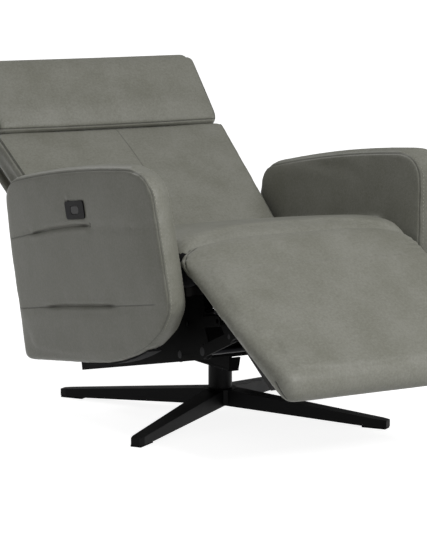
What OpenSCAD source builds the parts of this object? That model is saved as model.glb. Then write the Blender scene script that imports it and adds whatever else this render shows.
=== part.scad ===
// Star base swivel recliner, drawn as it stands with the back, seat and leg rest laid back.
// Origin: swivel axis at floor level. The seat faces -Y. Millimetres.

/* [Star base] */
// Reach of a star arm from the swivel axis to its tip
base_reach = 397; // [340:1:430]
// Angle of the first star arm from the +X axis
base_turn = 33; // [0:1:89]
// Width of a star arm at the hub
star_root_w = 46; // [36:1:60]
// Width of a star arm at its tip
star_tip_w = 28; // [20:1:34]
// Height of the star's top at the hub
star_top = 55; // [46:1:70]
// Height of a star arm at its tip
star_tip_h = 15; // [10:1:22]
// Height of the star's underside at the hub
star_low = 21; // [14:1:30]
// Outer diameter of the hub
hub_d = 74; // [66:1:90]
// Thickness of the rubber feet
foot_t = 4; // [3:0.5:8]
// Length of a rubber foot
foot_l = 58; // [40:1:80]

/* [Column] */
// Outer diameter of the column tube
column_d = 52; // [44:1:60]
// Wall of the column tube
column_wall = 5; // [3:0.5:7]
// Height of the column tube's top
column_top = 133; // [128:1:136]
// Diameter of the spindle
spindle_d = 30; // [20:1:34]
// Running clearance of shafts in their bores
running_gap = 0.05; // [0.02:0.01:0.1]
// Thickness of the thrust washer
washer_t = 3; // [2:0.5:5]

/* [Turntable] */
// Width of the turntable plate over its lugs
turn_w = 216; // [190:1:240]
// Distance from the swivel axis to the plate's front edge
turn_front = 216; // [205:1:225]
// Distance from the swivel axis to the plate's rear edge
turn_rear = 165; // [150:1:180]
// Thickness of the turntable plate
turn_t = 6; // [4:0.5:8]
// Thickness of the tilt lugs
lug_t = 6; // [4:0.5:8]
// Diameter of the tilt shaft
tilt_d = 16; // [12:1:20]
// Lean of the seat body in the pose drawn
seat_lean = 7.5; // [0:0.5:8]
// Distance of the tilt shaft in front of the swivel axis
tilt_ahead = 200; // [190:1:205]
// Height of the tilt shaft
tilt_height = 180; // [179:1:184]

/* [Seat] */
// Width of the seat cushion
seat_w = 566; // [530:1:568]
// Height of the seat cushion's top when the body is level
seat_top = 442; // [430:1:455]
// Thickness of the seat cushion
seat_t = 120; // [100:1:121]
// Distance from the swivel axis to the seat cushion's front
seat_front = 343; // [340:1:345]
// Distance from the swivel axis to the seat cushion's rear
seat_rear = 102; // [84:1:105]
// Thickness of the seat deck
deck_t = 18; // [12:1:22]

/* [Arms] */
// Height of the arm's seam when the body is level
arm_top = 572; // [550:1:590]
// Height of the arm's underside when the body is level
arm_low = 167; // [167:1:180]
// Distance from the swivel axis to the arm's front
arm_front = 392; // [375:1:405]
// Distance from the swivel axis to the arm's rear
arm_rear = 319; // [295:1:322]
// Distance from the middle to the arm's inner seam at the reference height
arm_inside = 294; // [292:1:300]
// Width of the arm between its two seams
arm_t = 58; // [50:1:66]
// Outward flare of the arm
arm_flare = 5.6; // [4:0.1:6]
// Height of the roll on top of the arm
arm_roll = 10; // [6:1:16]
// Swell of the outer panel
arm_swell = 8; // [4:1:12]
// Depth of the two sewn pleats
pleat_depth = 5; // [0:0.5:7]
// Height of the lower pleat
pleat_low = 290; // [270:1:310]
// Height of the upper pleat
pleat_high = 457; // [440:1:470]
// Thickness of the board inside the arm
arm_board_t = 15; // [12:1:15]

/* [Back] */
// Width of the back at its top
back_w = 606; // [560:1:612]
// Width of the back at the seat
back_low_w = 556; // [530:1:558]
// Angle of the back's face above the seat plane
back_rise = 42.7; // [42:0.1:45]
// Length of the back above the seat
back_l = 353; // [335:1:355]
// Thickness of the back cushion
back_cushion_t = 58; // [50:1:60]
// Thickness of the back board
back_board_t = 12; // [9:1:14]
// Thickness of the back stiles
stile_t = 14; // [12:1:16]
// Thickness of the rear cover
back_cover_t = 10; // [6:1:12]

/* [Headrest] */
// Width of the headrest at its hinge
head_w = 580; // [540:1:590]
// Width of the headrest at its top
head_top_w = 574; // [520:1:580]
// Length of the headrest above its hinge
head_l = 185; // [170:1:205]
// Thickness of the headrest
head_t = 96; // [86:1:104]
// Radius of the headrest's lower roll around its hinge
head_roll = 20; // [19:0.5:21.5]
// Angle of the headrest's face above the seat plane
head_rise = 58; // [50:1:62]

/* [Leg rest] */
// Width of the leg rest
leg_w = 556; // [530:1:560]
// Width of the leg rest at its nose
leg_nose_w = 494; // [486:1:520]
// Swell of the leg rest's two sides
leg_side_bow = 20; // [0:1:22]
// Length of the leg rest from the seat's front seam
leg_l = 434; // [420:1:440]
// Thickness of the leg rest cushion
leg_t = 54; // [46:1:55]
// Angle of the leg rest below the seat plane
leg_drop = 41; // [40:0.5:43]
// Length of the soft bridge between seat and leg rest
bridge_l = 107; // [104:1:112]
// Thickness of the leg rest board
leg_board_t = 12; // [9:1:14]

/* [Mechanism] */
// Thickness of the steel side plates
plate_t = 4; // [3:0.5:5]
// Distance from the middle to a side plate's inner face
plate_in = 214; // [212:1:215]
// Diameter of the back and leg shafts
shaft_d = 18; // [14:1:20]
// Diameter of the rear cross tube
cross_d = 25; // [20:1:28]
// Thickness of a link
link_t = 6; // [4:0.5:6]
// Width of a link
link_w = 24; // [20:1:26]
// Diameter of the link pins
link_pin_d = 10; // [8:1:12]
// Length of the back shaft's lever
back_lever = 72; // [66:1:74]
// Length of the leg shaft's lever
leg_lever = 34; // [30:1:36]

/* [Drives] */
// Diameter of a drive's outer tube
tube_d = 30; // [26:1:34]
// Diameter of a drive's push rod
rod_d = 18; // [14:1:20]
// Width of a drive's gearbox
gearbox_w = 46; // [40:1:48]
// Length of a drive's gearbox
gearbox_l = 70; // [60:1:76]
// Diameter of a drive's motor
motor_d = 42; // [36:1:44]
// Length of a drive's motor
motor_l = 92; // [80:1:100]
// Distance between the lanes of two drives
drive_lane = 72; // [70:1:76]
// Diameter of the drive pins
drive_pin_d = 8; // [6:1:9]
// Radial play of a push rod's eye around its pin
eye_play = 6; // [5.5:0.1:6.5]

/* [Hand control] */
// Length of the control plate
control_l = 82; // [74:1:90]
// Height of the control plate
control_h = 38; // [34:1:44]
// Thickness of the control plate
control_t = 7; // [6:0.5:9]
// Length of the rocker key
key_l = 34; // [28:1:40]
// Height of the rocker key
key_h = 16; // [12:1:20]
// Distance of the control's middle in front of the swivel axis
control_ahead = 68; // [50:1:110]
// Height of the control's middle
control_height = 493; // [482:1:500]

/* [Hidden] */

$fn = 48;

// Clearances and cuts
seam_gap = 0.3;
overrun = 1;

black = "#141415";
steel = "#1c1c1e";
hide = "#76766c";
hide_shade = "#62625a";
charcoal = "#2a2a2c";
rubber = "#101010";
plywood = "#b08d5b";

// Star base and column
star_sole = foot_t;
column_low = star_low + washer_t;
bush_low = column_top / 3;
bush_bore = spindle_d / 2 + running_gap;
column_bore = column_d / 2 - column_wall;
plate_z = column_top + washer_t;
bolt_shank_d = 6;
bolt_d = bolt_shank_d + 2 * running_gap;
bolt_head_d = 13;
bolt_head_t = 5;
spindle_washer_gap = 2;
turn_z = plate_z + turn_t;

// Turntable lugs and the drive mount at the rear
lug_out = turn_w / 2;
lug_rim = 10;
lug_r = tilt_d / 2 + lug_rim;
lug_back_y = 100;
turn_neck = 75;
turn_arm_w = 24;
gusset_w = 28;
gusset_h = 22;
tilt_drive_in = 25;
tilt_drive_up = 24;
tilt_drive_y = turn_rear - tilt_drive_in;
tilt_drive_z = turn_z + tilt_drive_up;

// Body level places, in a frame that leans with the seat
tilt_y = -tilt_ahead;
tilt_z = tilt_height;
deck_z = seat_top - seat_t;
deck_low = deck_z - deck_t;
crease_drop = 22;
crease_z = seat_top - crease_drop;
seat_round_y = 52;
seat_round_z = 30;
seat_bow = 7;
seat_tail_r = 24;
side_round = 20;

// Back origin lies where its face meets the seat, its pivot below and behind
back_y = 176;
back_drop = 5;
back_z = seat_top - back_drop;
back_pivot_along = -62.2;
back_pivot_deep = -55.6;
back_swing = 36;
back_foot_along = -38;
back_edge = 8;
back_bow = 4;
back_top_r = 10;
back_foot_r = 18;
board_deep = back_cushion_t + seam_gap;
stile_deep = board_deep + back_board_t;
cover_deep = stile_deep + stile_t;
stile_out = 240;
stile_w = 24;
plate_out = plate_in + plate_t;
link_gap = 4;
lug_in = plate_out + link_gap;
pivot_y = back_y + back_pivot_along * cos(back_rise) - back_pivot_deep * sin(back_rise);
pivot_z = back_z + back_pivot_along * sin(back_rise) + back_pivot_deep * cos(back_rise);

// Headrest hinge in the frame of the back
head_gap = 3;
head_along = back_l + head_roll + head_gap;
head_deep = -4.4;
head_arm_in = 130;
head_arm_t = 12;
head_pin_d = 12;
head_slot_gap = 4;
head_heel = 20;
head_round = 30;
head_face = head_roll;
head_board_along = 30;
head_board_deep = head_t - head_face - 2 * back_board_t;
head_pin_in = 6;
head_pin_from = head_arm_in - head_slot_gap - head_pin_in;
head_pin_to = head_arm_in + head_arm_t + head_slot_gap + head_pin_in;

// Leg rest linkage: one pin on the leg rest, at rest and folded, sets the shaft's place
link_at = 200;
link_deep = 87;
guide_at = 160;
guide_deep = 80;
fold_front = 414;
fold_top = 412;
shaft_off = 108;
guide_off = 100;
function leg_point(at, deep) = [
    -seat_front - at * cos(leg_drop) + deep * sin(leg_drop),
    crease_z - at * sin(leg_drop) - deep * cos(leg_drop)];
function fold_point(at, deep) = [deep - fold_front, fold_top + bridge_l - at];
function bisector(p, q, off) = (p + q) / 2 + off * [q[1] - p[1], p[0] - q[0]] / norm(q - p);
link_end = leg_point(link_at, link_deep);
link_fold = fold_point(link_at, link_deep);
shaft_at = bisector(link_end, link_fold, shaft_off);
link_swing = 2 * atan(norm(link_fold - link_end) / 2 / shaft_off);
guide_end = leg_point(guide_at, guide_deep);
guide_fold = fold_point(guide_at, guide_deep);
guide_pivot = bisector(guide_end, guide_fold, guide_off);
bracket_t = 6;
guide_gap = 3;
board_lap = 2;
link_x = plate_out + link_gap;
bracket_x = link_x + link_t + link_gap;
guide_x = bracket_x + bracket_t + guide_gap;
leg_board_half = bracket_x + bracket_t + board_lap;
leg_board_in = 28;
nose_y = 36;
nose_z = 30;
leg_bow = 5;
slot_gap = 3;
slot_reach = 56;
slot_top = 386;

// Side plates
plate_rear_y = 244;
plate_rear_low = 134;
plate_front_low = 160;
plate_rear_high = 180;
pivot_lug_r = 18;
shaft_lug_r = 17;
guide_lug_r = 16;
front_rail_y = -236;
front_rail_low = 169;
front_rail_high = 232;
rail_flange = 18;
rail_notch = 17;
rail_notch_low = 192;
rear_tube_y = 226;
rear_tube_z = 160;

// Arms
arm_ref_z = 400;
arm_nose_y = 385;
arm_nose_z = 150;
arm_brow_y = 72;
arm_brow_z = 60;
arm_rear_y = 40;
arm_rear_z = 40;
arm_skew = 36;
arm_band_bow = 12;
arm_foot_r = 10;
arm_lean = 4.6;
arm_arch = 13;
arm_arch_y = -60;
arm_arch_l = 320;
arm_corner_x = 24;
arm_corner_y = 40;
pleat_half = 11;
arm_board_x = 284;
arm_board_top = 425;
arm_board_low = 200;
arm_board_front = 221;
arm_board_rear = 200;
arm_base_t = 4;
arm_base_front = 250;
arm_base_rear = 10;
arm_base_in = 6;
bracket_places = [-146, 64];
bracket_w = 50;
bracket_z = 240;
bracket_plate_t = 6;
bracket_flange_h = 40;
foot_shares = [0, 0.3, 1, 2.4, 4.5, 7.5];
brow_shares = [0.8, 0.5, 0.28, 0.12, 0.03, 0];
roll_shares = [0.45, 0.75, 0.93, 0.995];
outer_steps = 10;
band_steps = 6;
inner_steps = 7;
base_steps = 10;

// Drives
lever_t = 5;
eye_w = 16;
eye_r = 16;
lever_gap = 1;
gearbox_y = 20;
gearbox_h = 50;
drive_lug_r = 13;
motor_y = 22;
motor_lap = 4;
back_drive_y = -186;
back_drive_z = 228;
leg_drive_y = 74;
leg_drive_z = 250;
tilt_eye_y = -106;
tilt_eye_z = 262;
back_eye = [pivot_y - back_lever * sin(back_swing / 2), pivot_z - back_lever * cos(back_swing / 2)];
leg_eye = shaft_at + leg_lever * [-sin(link_swing / 2), cos(link_swing / 2)];
tilt_eye = [
    tilt_y + (tilt_eye_y - tilt_y) * cos(seat_lean) + (tilt_eye_z - tilt_z) * sin(seat_lean),
    tilt_z - (tilt_eye_y - tilt_y) * sin(seat_lean) + (tilt_eye_z - tilt_z) * cos(seat_lean)];
back_drive = [back_drive_y, back_drive_z];
leg_drive = [leg_drive_y, leg_drive_z];
tilt_drive = [tilt_drive_y, tilt_drive_z];
long_tube = 180;
short_tube = 110;
rod_inside = 68;
short_rod_inside = 30;

// Power box under the deck
box_x = 112;
box_w = 92;
box_l = 110;
box_h = 38;
box_y = -56;
inlet_w = 26;
inlet_h = 16;
inlet_t = 8;

// Hand control
control_r = 7;
control_proud = 2;
control_seat = arm_t + arm_swell - control_t + control_proud;
key_gap = 1;
key_t = 4;
key_sink = 1.6;
key_rib_r = 2.2;

// Shapes that the soft pieces share: stations across a pad and steps along its face
arc_shares = [0, 30, 60, 90];
middle_shares = [0.72, 0.4];
face_steps = 6;
function arc(cy, cz, ry, rz, from, to, n) =
    [for (i = [0:n]) let (a = from + (to - from) * i / n) [cy + ry * cos(a), cz + rz * sin(a)]];
function inset(d, along, deep) = d >= deep ? 0 : along * (1 - sqrt(1 - pow((deep - d) / deep, 2)));
function mirror_rows(rows) = [for (i = [len(rows) - 1:-1:0]) [-rows[i][0], rows[i][1]]];

// Stations across a pad: distance from its middle and how far its profile is drawn in
function half_row(half, round) = concat(
    [for (a = arc_shares) [half - round * (1 - cos(a)), round * (1 - sin(a))]],
    [for (s = middle_shares) [half * s, 0]]);
function stations(half, round) = let (row = half_row(half, round)) concat(
    [for (p = row) [-p[0], p[1]]], [[0, 0]], [for (i = [len(row) - 1:-1:0]) row[i]]);

// Skin over rings that run anticlockwise about the direction in which they are stacked
module skin(rings, first, last) {
    n = len(rings[0]);
    m = len(rings);
    points = concat([for (r = rings) each r], [first, last]);
    sides = [for (k = [0:m - 2]) for (i = [0:n - 1]) let (j = (i + 1) % n)
        each [[k * n + i, (k + 1) * n + i, (k + 1) * n + j], [k * n + i, (k + 1) * n + j, k * n + j]]];
    near = [for (i = [0:n - 1]) [m * n, i, (i + 1) % n]];
    far = [for (i = [0:n - 1]) [m * n + 1, (m - 1) * n + (i + 1) % n, (m - 1) * n + i]];
    polyhedron(points = points, faces = concat(sides, near, far), convexity = 6);
}

// Profile of a pad in length and height, with a round front, a tail and a small lower edge
function slab_profile(y0, y1, z0, z1, ry, rz, tail, low) = concat(
    arc(y0 + low, z0 + low, low, low, 180, 270, 2),
    arc(y1 - low, z0 + low, low, low, 270, 360, 2),
    arc(y1 - tail, z1 - tail, tail, tail, 0, 90, 3),
    [for (t = [1:face_steps - 1]) [y1 - tail + (y0 + ry - y1 + tail) * t / face_steps, z1]],
    arc(y0 + ry, z1 - rz, ry, rz, 90, 180, 5));

// A pad across X: its profile, drawn in towards both sides, crowned on its face
module pad(half, low_half, profile, y0, y1, z0, z1, bow, round, side_bow = 0) {
    y_mid = (y0 + y1) / 2;
    z_mid = (z0 + z1) / 2;
    rings = [for (st = stations(half, round)) [for (p = profile)
        let (s = (p[0] - y0) / (y1 - y0),
            wide = (low_half + (half - low_half) * s + side_bow * 4 * s * (1 - s)) / half,
            ky = 1 - st[1] / ((y1 - y0) / 2),
            kz = 1 - st[1] / ((z1 - z0) / 2),
            lift = p[1] > z_mid ? bow * (1 - pow(st[0] / half, 2)) * 4 * s * (1 - s) : 0)
        [st[0] * wide, y_mid + (p[0] - y_mid) * ky, z_mid + (p[1] - z_mid) * kz + lift]]];
    skin(rings, [rings[0][0][0], y_mid, z_mid], [rings[len(rings) - 1][0][0], y_mid, z_mid]);
}

// Placing
module leaned() {
    translate([0, tilt_y, tilt_z]) rotate([-seat_lean, 0, 0]) translate([0, -tilt_y, -tilt_z]) children();
}
module back_place() {
    leaned() translate([0, back_y, back_z]) rotate([back_rise, 0, 0]) children();
}
module head_place() {
    back_place() translate([0, head_along, head_deep]) rotate([head_rise - back_rise, 0, 0]) children();
}
module leg_place() {
    leaned() translate([0, -seat_front, crease_z]) rotate([leg_drop, 0, 0]) children();
}
module along_x(x0, x1) {
    translate([x0, 0, 0]) rotate([90, 0, 90]) linear_extrude(x1 - x0) children();
}
module rod_x(x0, x1, y, z, d) {
    translate([x0, y, z]) rotate([0, 90, 0]) cylinder(d = d, h = x1 - x0);
}
module both_sides() {
    children();
    mirror([1, 0, 0]) children();
}
module disc(y, z, d) {
    translate([y, z]) circle(d = d);
}

// Star base
module star_arm() {
    intersection() {
        translate([0, star_root_w, 0]) rotate([90, 0, 0]) linear_extrude(2 * star_root_w)
            polygon([[0, star_low], [base_reach - foot_l, star_sole], [base_reach, star_sole],
                [base_reach, star_sole + star_tip_h], [column_d / 2, star_top], [0, star_top]]);
        linear_extrude(2 * star_top)
            polygon([[0, -star_root_w / 2], [base_reach - star_tip_h, -star_tip_w / 2],
                [base_reach, -star_tip_w / 2 + foot_t], [base_reach, star_tip_w / 2 - foot_t],
                [base_reach - star_tip_h, star_tip_w / 2], [0, star_root_w / 2]]);
    }
}
module star_base() {
    color(black) difference() {
        union() {
            for (k = [0:3]) rotate([0, 0, base_turn + 90 * k]) star_arm();
            translate([0, 0, star_low]) cylinder(d = hub_d, h = star_top - star_low);
        }
        translate([0, 0, star_low - overrun])
            cylinder(d = column_d + 2 * running_gap, h = star_top - star_low + 2 * overrun);
    }
}
module base_feet() {
    color(rubber) for (k = [0:3]) rotate([0, 0, base_turn + 90 * k])
        translate([base_reach - foot_l + foot_t / 2, -star_tip_w / 2 + foot_t / 2, 0])
            cube([foot_l - foot_t, star_tip_w - foot_t, foot_t]);
}
module column_tube() {
    color(black) difference() {
        translate([0, 0, star_low]) cylinder(d = column_d, h = column_top - star_low);
        translate([0, 0, column_low]) cylinder(r = column_bore, h = column_top);
    }
}
module column_bush() {
    color("#d8d6cf") difference() {
        translate([0, 0, bush_low]) cylinder(r = column_bore - running_gap, h = column_top - bush_low);
        translate([0, 0, bush_low - overrun]) cylinder(r = bush_bore, h = column_top);
    }
}
module thrust_washer() {
    color("#8b8b88") difference() {
        translate([0, 0, column_top]) cylinder(d = column_d, h = washer_t);
        translate([0, 0, column_top - overrun]) cylinder(r = bush_bore, h = washer_t + 2 * overrun);
    }
}

// Turntable
module spindle() {
    color(steel) translate([0, 0, bush_low]) cylinder(d = spindle_d, h = turn_z - bush_low);
}
module spindle_bolt() {
    color(steel) {
        translate([0, 0, bush_low - washer_t]) cylinder(r = column_bore - spindle_washer_gap, h = washer_t);
        translate([0, 0, bush_low - washer_t - bolt_head_t])
            cylinder(d = bolt_head_d, h = bolt_head_t, $fn = 6);
    }
}
module bolt_holes(d, low, high, sides = $fn) {
    for (x = [-1, 1]) for (y = [1, 3])
        translate([x * (lug_out - lug_t - (turn_arm_w - lug_t) / 2), tilt_y + y * lug_back_y / 4, low])
            cylinder(d = d, h = high - low, $fn = sides);
}
module turn_plate() {
    color(black) difference() {
        translate([0, 0, plate_z]) linear_extrude(turn_t) union() {
            translate([-turn_w / 2, -turn_neck]) square([turn_w, turn_neck + turn_rear]);
            for (x = [-turn_w / 2, turn_w / 2 - turn_arm_w])
                translate([x, -turn_front]) square([turn_arm_w, turn_front]);
        }
        translate([0, 0, plate_z - overrun])
            cylinder(d = spindle_d + 2 * running_gap, h = turn_t + 2 * overrun);
        bolt_holes(bolt_d, plate_z - overrun, turn_z + overrun);
    }
}
module turn_lug() {
    difference() {
        union() {
            along_x(lug_out - lug_t, lug_out) union() {
                polygon([[-turn_front, turn_z], [tilt_y + lug_back_y, turn_z],
                    [tilt_y + lug_back_y, turn_z + lug_t], [tilt_y + lug_r, tilt_z],
                    [tilt_y - lug_r + lug_t / 3, tilt_z]]);
                disc(tilt_y, tilt_z, 2 * lug_r);
            }
            translate([lug_out - turn_arm_w, -turn_front, turn_z])
                cube([turn_arm_w, lug_back_y, lug_t]);
            translate([0, -turn_front + lug_t, 0]) rotate([90, 0, 0]) linear_extrude(lug_t)
                polygon([[lug_out, turn_z], [lug_out, turn_z + gusset_h],
                    [lug_out - gusset_w, turn_z + gusset_h], [lug_out - turn_arm_w, turn_z]]);
        }
        rod_x(lug_out - lug_t - overrun, lug_out + overrun, tilt_y, tilt_z, tilt_d + 2 * running_gap);
        bolt_holes(bolt_d, turn_z - overrun, turn_z + lug_t + overrun);
    }
}
module turn_lugs() {
    color(black) {
        both_sides() turn_lug();
        difference() {
            both_sides() along_x(eye_w / 2 + lever_gap, eye_w / 2 + lever_gap + lever_t) union() {
                translate([tilt_drive_y - drive_lug_r, turn_z])
                    square([2 * drive_lug_r, tilt_drive_z - turn_z]);
                disc(tilt_drive_y, tilt_drive_z, 2 * drive_lug_r);
            }
            rod_x(-turn_w, turn_w, tilt_drive_y, tilt_drive_z, drive_pin_d + 2 * running_gap);
        }
        rod_x(-eye_w, eye_w, tilt_drive_y, tilt_drive_z, drive_pin_d);
    }
}
module turn_bolts() {
    color(steel) {
        bolt_holes(bolt_shank_d, plate_z, turn_z + lug_t + bolt_head_t);
        bolt_holes(bolt_head_d, plate_z - bolt_head_t, plate_z, 6);
        bolt_holes(bolt_head_d, turn_z + lug_t, turn_z + lug_t + bolt_head_t, 6);
    }
}

// Seat body: shafts, side plates, tubes and deck
module tilt_shaft() {
    color(steel) leaned() rod_x(-plate_out, plate_out, tilt_y, tilt_z, tilt_d);
}
module plate_outline() {
    polygon([[plate_rear_y, plate_rear_low], [plate_rear_y + plate_t, plate_rear_high],
        [pivot_y + pivot_lug_r, pivot_z], [pivot_y - pivot_lug_r, pivot_z],
        [seat_rear + 2 * plate_t, deck_low], [guide_pivot[0] - guide_lug_r, deck_low],
        [guide_pivot[0] - guide_lug_r, guide_pivot[1]], [shaft_at[0] - shaft_lug_r, shaft_at[1]],
        [shaft_at[0], shaft_at[1] - shaft_lug_r]]);
    disc(shaft_at[0], shaft_at[1], 2 * shaft_lug_r);
    disc(pivot_y, pivot_z, 2 * pivot_lug_r);
    disc(tilt_y, tilt_z, 2 * lug_r - plate_t);
}
module side_plate() {
    leaned() difference() {
        along_x(plate_in, plate_out) plate_outline();
        rod_x(plate_in - overrun, plate_out + overrun, tilt_y, tilt_z, tilt_d + 2 * running_gap);
        rod_x(plate_in - overrun, plate_out + overrun, shaft_at[0], shaft_at[1], shaft_d + 2 * running_gap);
        rod_x(plate_in - overrun, plate_out + overrun, pivot_y, pivot_z, shaft_d + 2 * running_gap);
        rod_x(plate_in - overrun, plate_out + overrun, guide_pivot[0], guide_pivot[1],
            link_pin_d + 2 * running_gap);
    }
}
module right_side_plate() {
    color(black) side_plate();
}
module left_side_plate() {
    color(black) mirror([1, 0, 0]) side_plate();
}
module front_cross_rail() {
    color(black) leaned() difference() {
        along_x(-plate_in, plate_in) union() {
            translate([front_rail_y, front_rail_low]) square([plate_t, front_rail_high - front_rail_low]);
            for (z = [front_rail_low, front_rail_high - plate_t])
                translate([front_rail_y, z]) square([rail_flange, plate_t]);
        }
        translate([-drive_lane - rail_notch, front_rail_y - overrun, rail_notch_low])
            cube([2 * rail_notch, rail_flange + 2 * overrun, front_rail_high]);
    }
}
module rear_cross_tube() {
    color(black) leaned() difference() {
        rod_x(-plate_in, plate_in, rear_tube_y, rear_tube_z, cross_d);
        rod_x(-plate_in - overrun, plate_in + overrun, rear_tube_y, rear_tube_z, cross_d - plate_t);
    }
}
module link_slots() {
    both_sides() translate([link_x - slot_gap, -2 * seat_front + slot_reach, deck_low - overrun])
        cube([guide_x + link_t + 2 * slot_gap - link_x, seat_front, slot_top - deck_low]);
}
module seat_deck() {
    color(plywood) leaned() difference() {
        translate([-seat_w / 2 + side_round, -seat_front + side_round, deck_low])
            cube([seat_w - 2 * side_round, seat_front + seat_rear - side_round, deck_t]);
        link_slots();
    }
}
module seat_cushion() {
    y0 = -seat_front;
    z1 = seat_top - seat_bow;
    color(hide) leaned() difference() {
        pad(seat_w / 2, seat_w / 2,
            slab_profile(y0, seat_rear, deck_z, z1, seat_round_y, seat_round_z, seat_tail_r, seat_bow),
            y0, seat_rear, deck_z, z1, seat_bow, side_round);
        link_slots();
    }
}

// Leg rest panel, whole, in its own frame: the bridge and the cushion are cut from it
module leg_panel() {
    pad(leg_w / 2, leg_nose_w / 2,
        slab_profile(-leg_l, 0, -leg_t, 0, nose_y, nose_z, leg_bow, leg_bow + seat_bow),
        -leg_l, 0, -leg_t, 0, leg_bow, leg_t / 2 - overrun, leg_side_bow);
}
module leg_bridge() {
    color(hide) difference() {
        leg_place() intersection() {
            leg_panel();
            translate([-leg_w, -bridge_l + seam_gap / 2, -leg_w])
                cube([2 * leg_w, 2 * bridge_l, 2 * leg_w]);
        }
        leaned() translate([-leg_w, -seat_front - seam_gap, 0]) cube([2 * leg_w, seat_front, 2 * seat_top]);
    }
}
module leg_cushion() {
    color(hide) leg_place() intersection() {
        leg_panel();
        translate([-leg_w, -bridge_l - seam_gap / 2 - leg_l, -leg_w]) cube([2 * leg_w, leg_l, 2 * leg_w]);
    }
}

// Arms
arm_rows = concat(
    [for (s = foot_shares) arm_low + arm_foot_r * s],
    [pleat_low - pleat_half, pleat_low, pleat_low + pleat_half, (pleat_low + pleat_high) / 2,
        pleat_high - pleat_half, pleat_high, pleat_high + pleat_half],
    [for (s = brow_shares) arm_top - arm_brow_z * s],
    [for (s = roll_shares) arm_top + arm_roll * s]);
function arm_nose(z) = -arm_front + inset(z - arm_low, arm_nose_y, arm_nose_z)
    + inset(max(arm_top - z, 0), arm_brow_y, arm_brow_z);
function arm_tail(z) = arm_rear - (z - arm_low) * tan(arm_lean)
    - inset(max(arm_top - z, 0), arm_rear_y, arm_rear_z) - inset(z - arm_low, arm_foot_r, arm_foot_r);
function arm_x(w, z) = -arm_inside - (z - arm_ref_z) * tan(arm_flare) - w;
function arm_z(y, z) = z
    - arm_arch * pow((y - arm_arch_y) / arm_arch_l, 2) * (z - arm_low) / (arm_top - arm_low);
function arm_point(w, y, z) = [arm_x(w, z), y, arm_z(y, z)];
function arm_narrow(z) = inset(z - arm_low, arm_foot_r, arm_foot_r)
    + (z > arm_top ? arm_t / 2 * (1 - sqrt(1 - pow((z - arm_top) / arm_roll, 2))) : 0);
function arm_puff(z, t) = z > arm_top ? 0 : arm_swell * (1 - pow(abs(2 * t - 1), 4))
    * (1 - pow(abs(2 * (z - arm_low) / (arm_top - arm_low) - 1), 4));
function arm_pleat(z, t) = (z == pleat_low || z == pleat_high) ? pleat_depth * sqrt(sin(180 * t)) : 0;
function arm_ring(z) = let (
        front = arm_nose(z) + (z > arm_top ? arm_narrow(z) : 0),
        rear = arm_tail(z) - (z > arm_top ? arm_narrow(z) : 0),
        n = arm_narrow(z), out = arm_t - n, side = rear - arm_corner_y, end = out - arm_corner_x) concat(
    [for (i = [0:outer_steps]) let (t = i / outer_steps)
        arm_point(out + arm_puff(z, t) - arm_pleat(z, t), side + (front - side) * t, z)],
    [for (i = [1:band_steps - 1]) let (q = i / band_steps)
        arm_point(out + (n - out) * q, front + arm_skew * q - arm_band_bow * sin(180 * q), z)],
    [for (i = [0:inner_steps]) let (t = i / inner_steps)
        arm_point(n, front + arm_skew + (rear - front - arm_skew) * t, z)],
    [for (a = [0:30:60]) arm_point(end + (out - end) * sin(a), side + arm_corner_y * cos(a), z)]);
module arm_form() {
    rings = [for (z = arm_rows) arm_ring(z)];
    last = len(arm_rows) - 1;
    middle = (arm_nose(arm_top) + arm_tail(arm_top)) / 2;
    skin(rings, arm_point(arm_t / 2, 0, arm_rows[0]), arm_point(arm_t / 2, middle, arm_rows[last]));
}
module control_place() {
    leaned() translate([arm_x(control_seat, control_height), -control_ahead, control_height])
        rotate([0, -arm_flare, 0]) rotate([0, -90, 0]) rotate([0, 0, 90]) children();
}
module rounded_plate(l, h, r, t) {
    linear_extrude(t) union() {
        square([l - 2 * r, h], center = true);
        square([l, h - 2 * r], center = true);
        for (x = [-1, 1]) for (y = [-1, 1]) translate([x * (l / 2 - r), y * (h / 2 - r)]) circle(r);
    }
}
module arm_shell() {
    leaned() difference() {
        arm_form();
        translate([-arm_board_x - arm_board_t - seam_gap, -arm_board_front - seam_gap, 0])
            cube([arm_board_x, 2 * arm_front, arm_board_top + seam_gap]);
    }
}
module left_arm_pad() {
    color(hide) difference() {
        arm_shell();
        control_place() translate([-control_l / 2 - seam_gap, -control_h / 2 - seam_gap, 0])
            cube([control_l + 2 * seam_gap, control_h + 2 * seam_gap, 4 * control_t]);
    }
}
module right_arm_pad() {
    color(hide) mirror([1, 0, 0]) arm_shell();
}
module arm_board() {
    leaned() translate([-arm_board_x - arm_board_t, -arm_board_front, arm_board_low])
        cube([arm_board_t, arm_board_front + arm_board_rear, arm_board_top - arm_board_low]);
}
module left_arm_board() {
    color(plywood) arm_board();
}
module right_arm_board() {
    color(plywood) mirror([1, 0, 0]) arm_board();
}
function arm_under(y) = let (q = min((y + arm_front) / arm_nose_y, 1))
    arm_low + arm_nose_z * (1 - sqrt(1 - pow(1 - q, 2)));
module arm_base() {
    ys = [for (i = [0:base_steps]) arm_base_rear - (arm_base_rear + arm_base_front) * i / base_steps];
    x_out = arm_x(arm_t - arm_foot_r, arm_low);
    x_in = arm_x(arm_foot_r + arm_base_in, arm_low);
    leaned() along_x(x_out, x_in) polygon(concat(
        [for (y = ys) [y, arm_under(y) - 2 * seam_gap]],
        [for (i = [base_steps:-1:0]) [ys[i], arm_under(ys[i]) - 2 * seam_gap - arm_base_t]]));
}
module left_arm_base() {
    color(charcoal) arm_base();
}
module right_arm_base() {
    color(charcoal) mirror([1, 0, 0]) arm_base();
}
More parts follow.
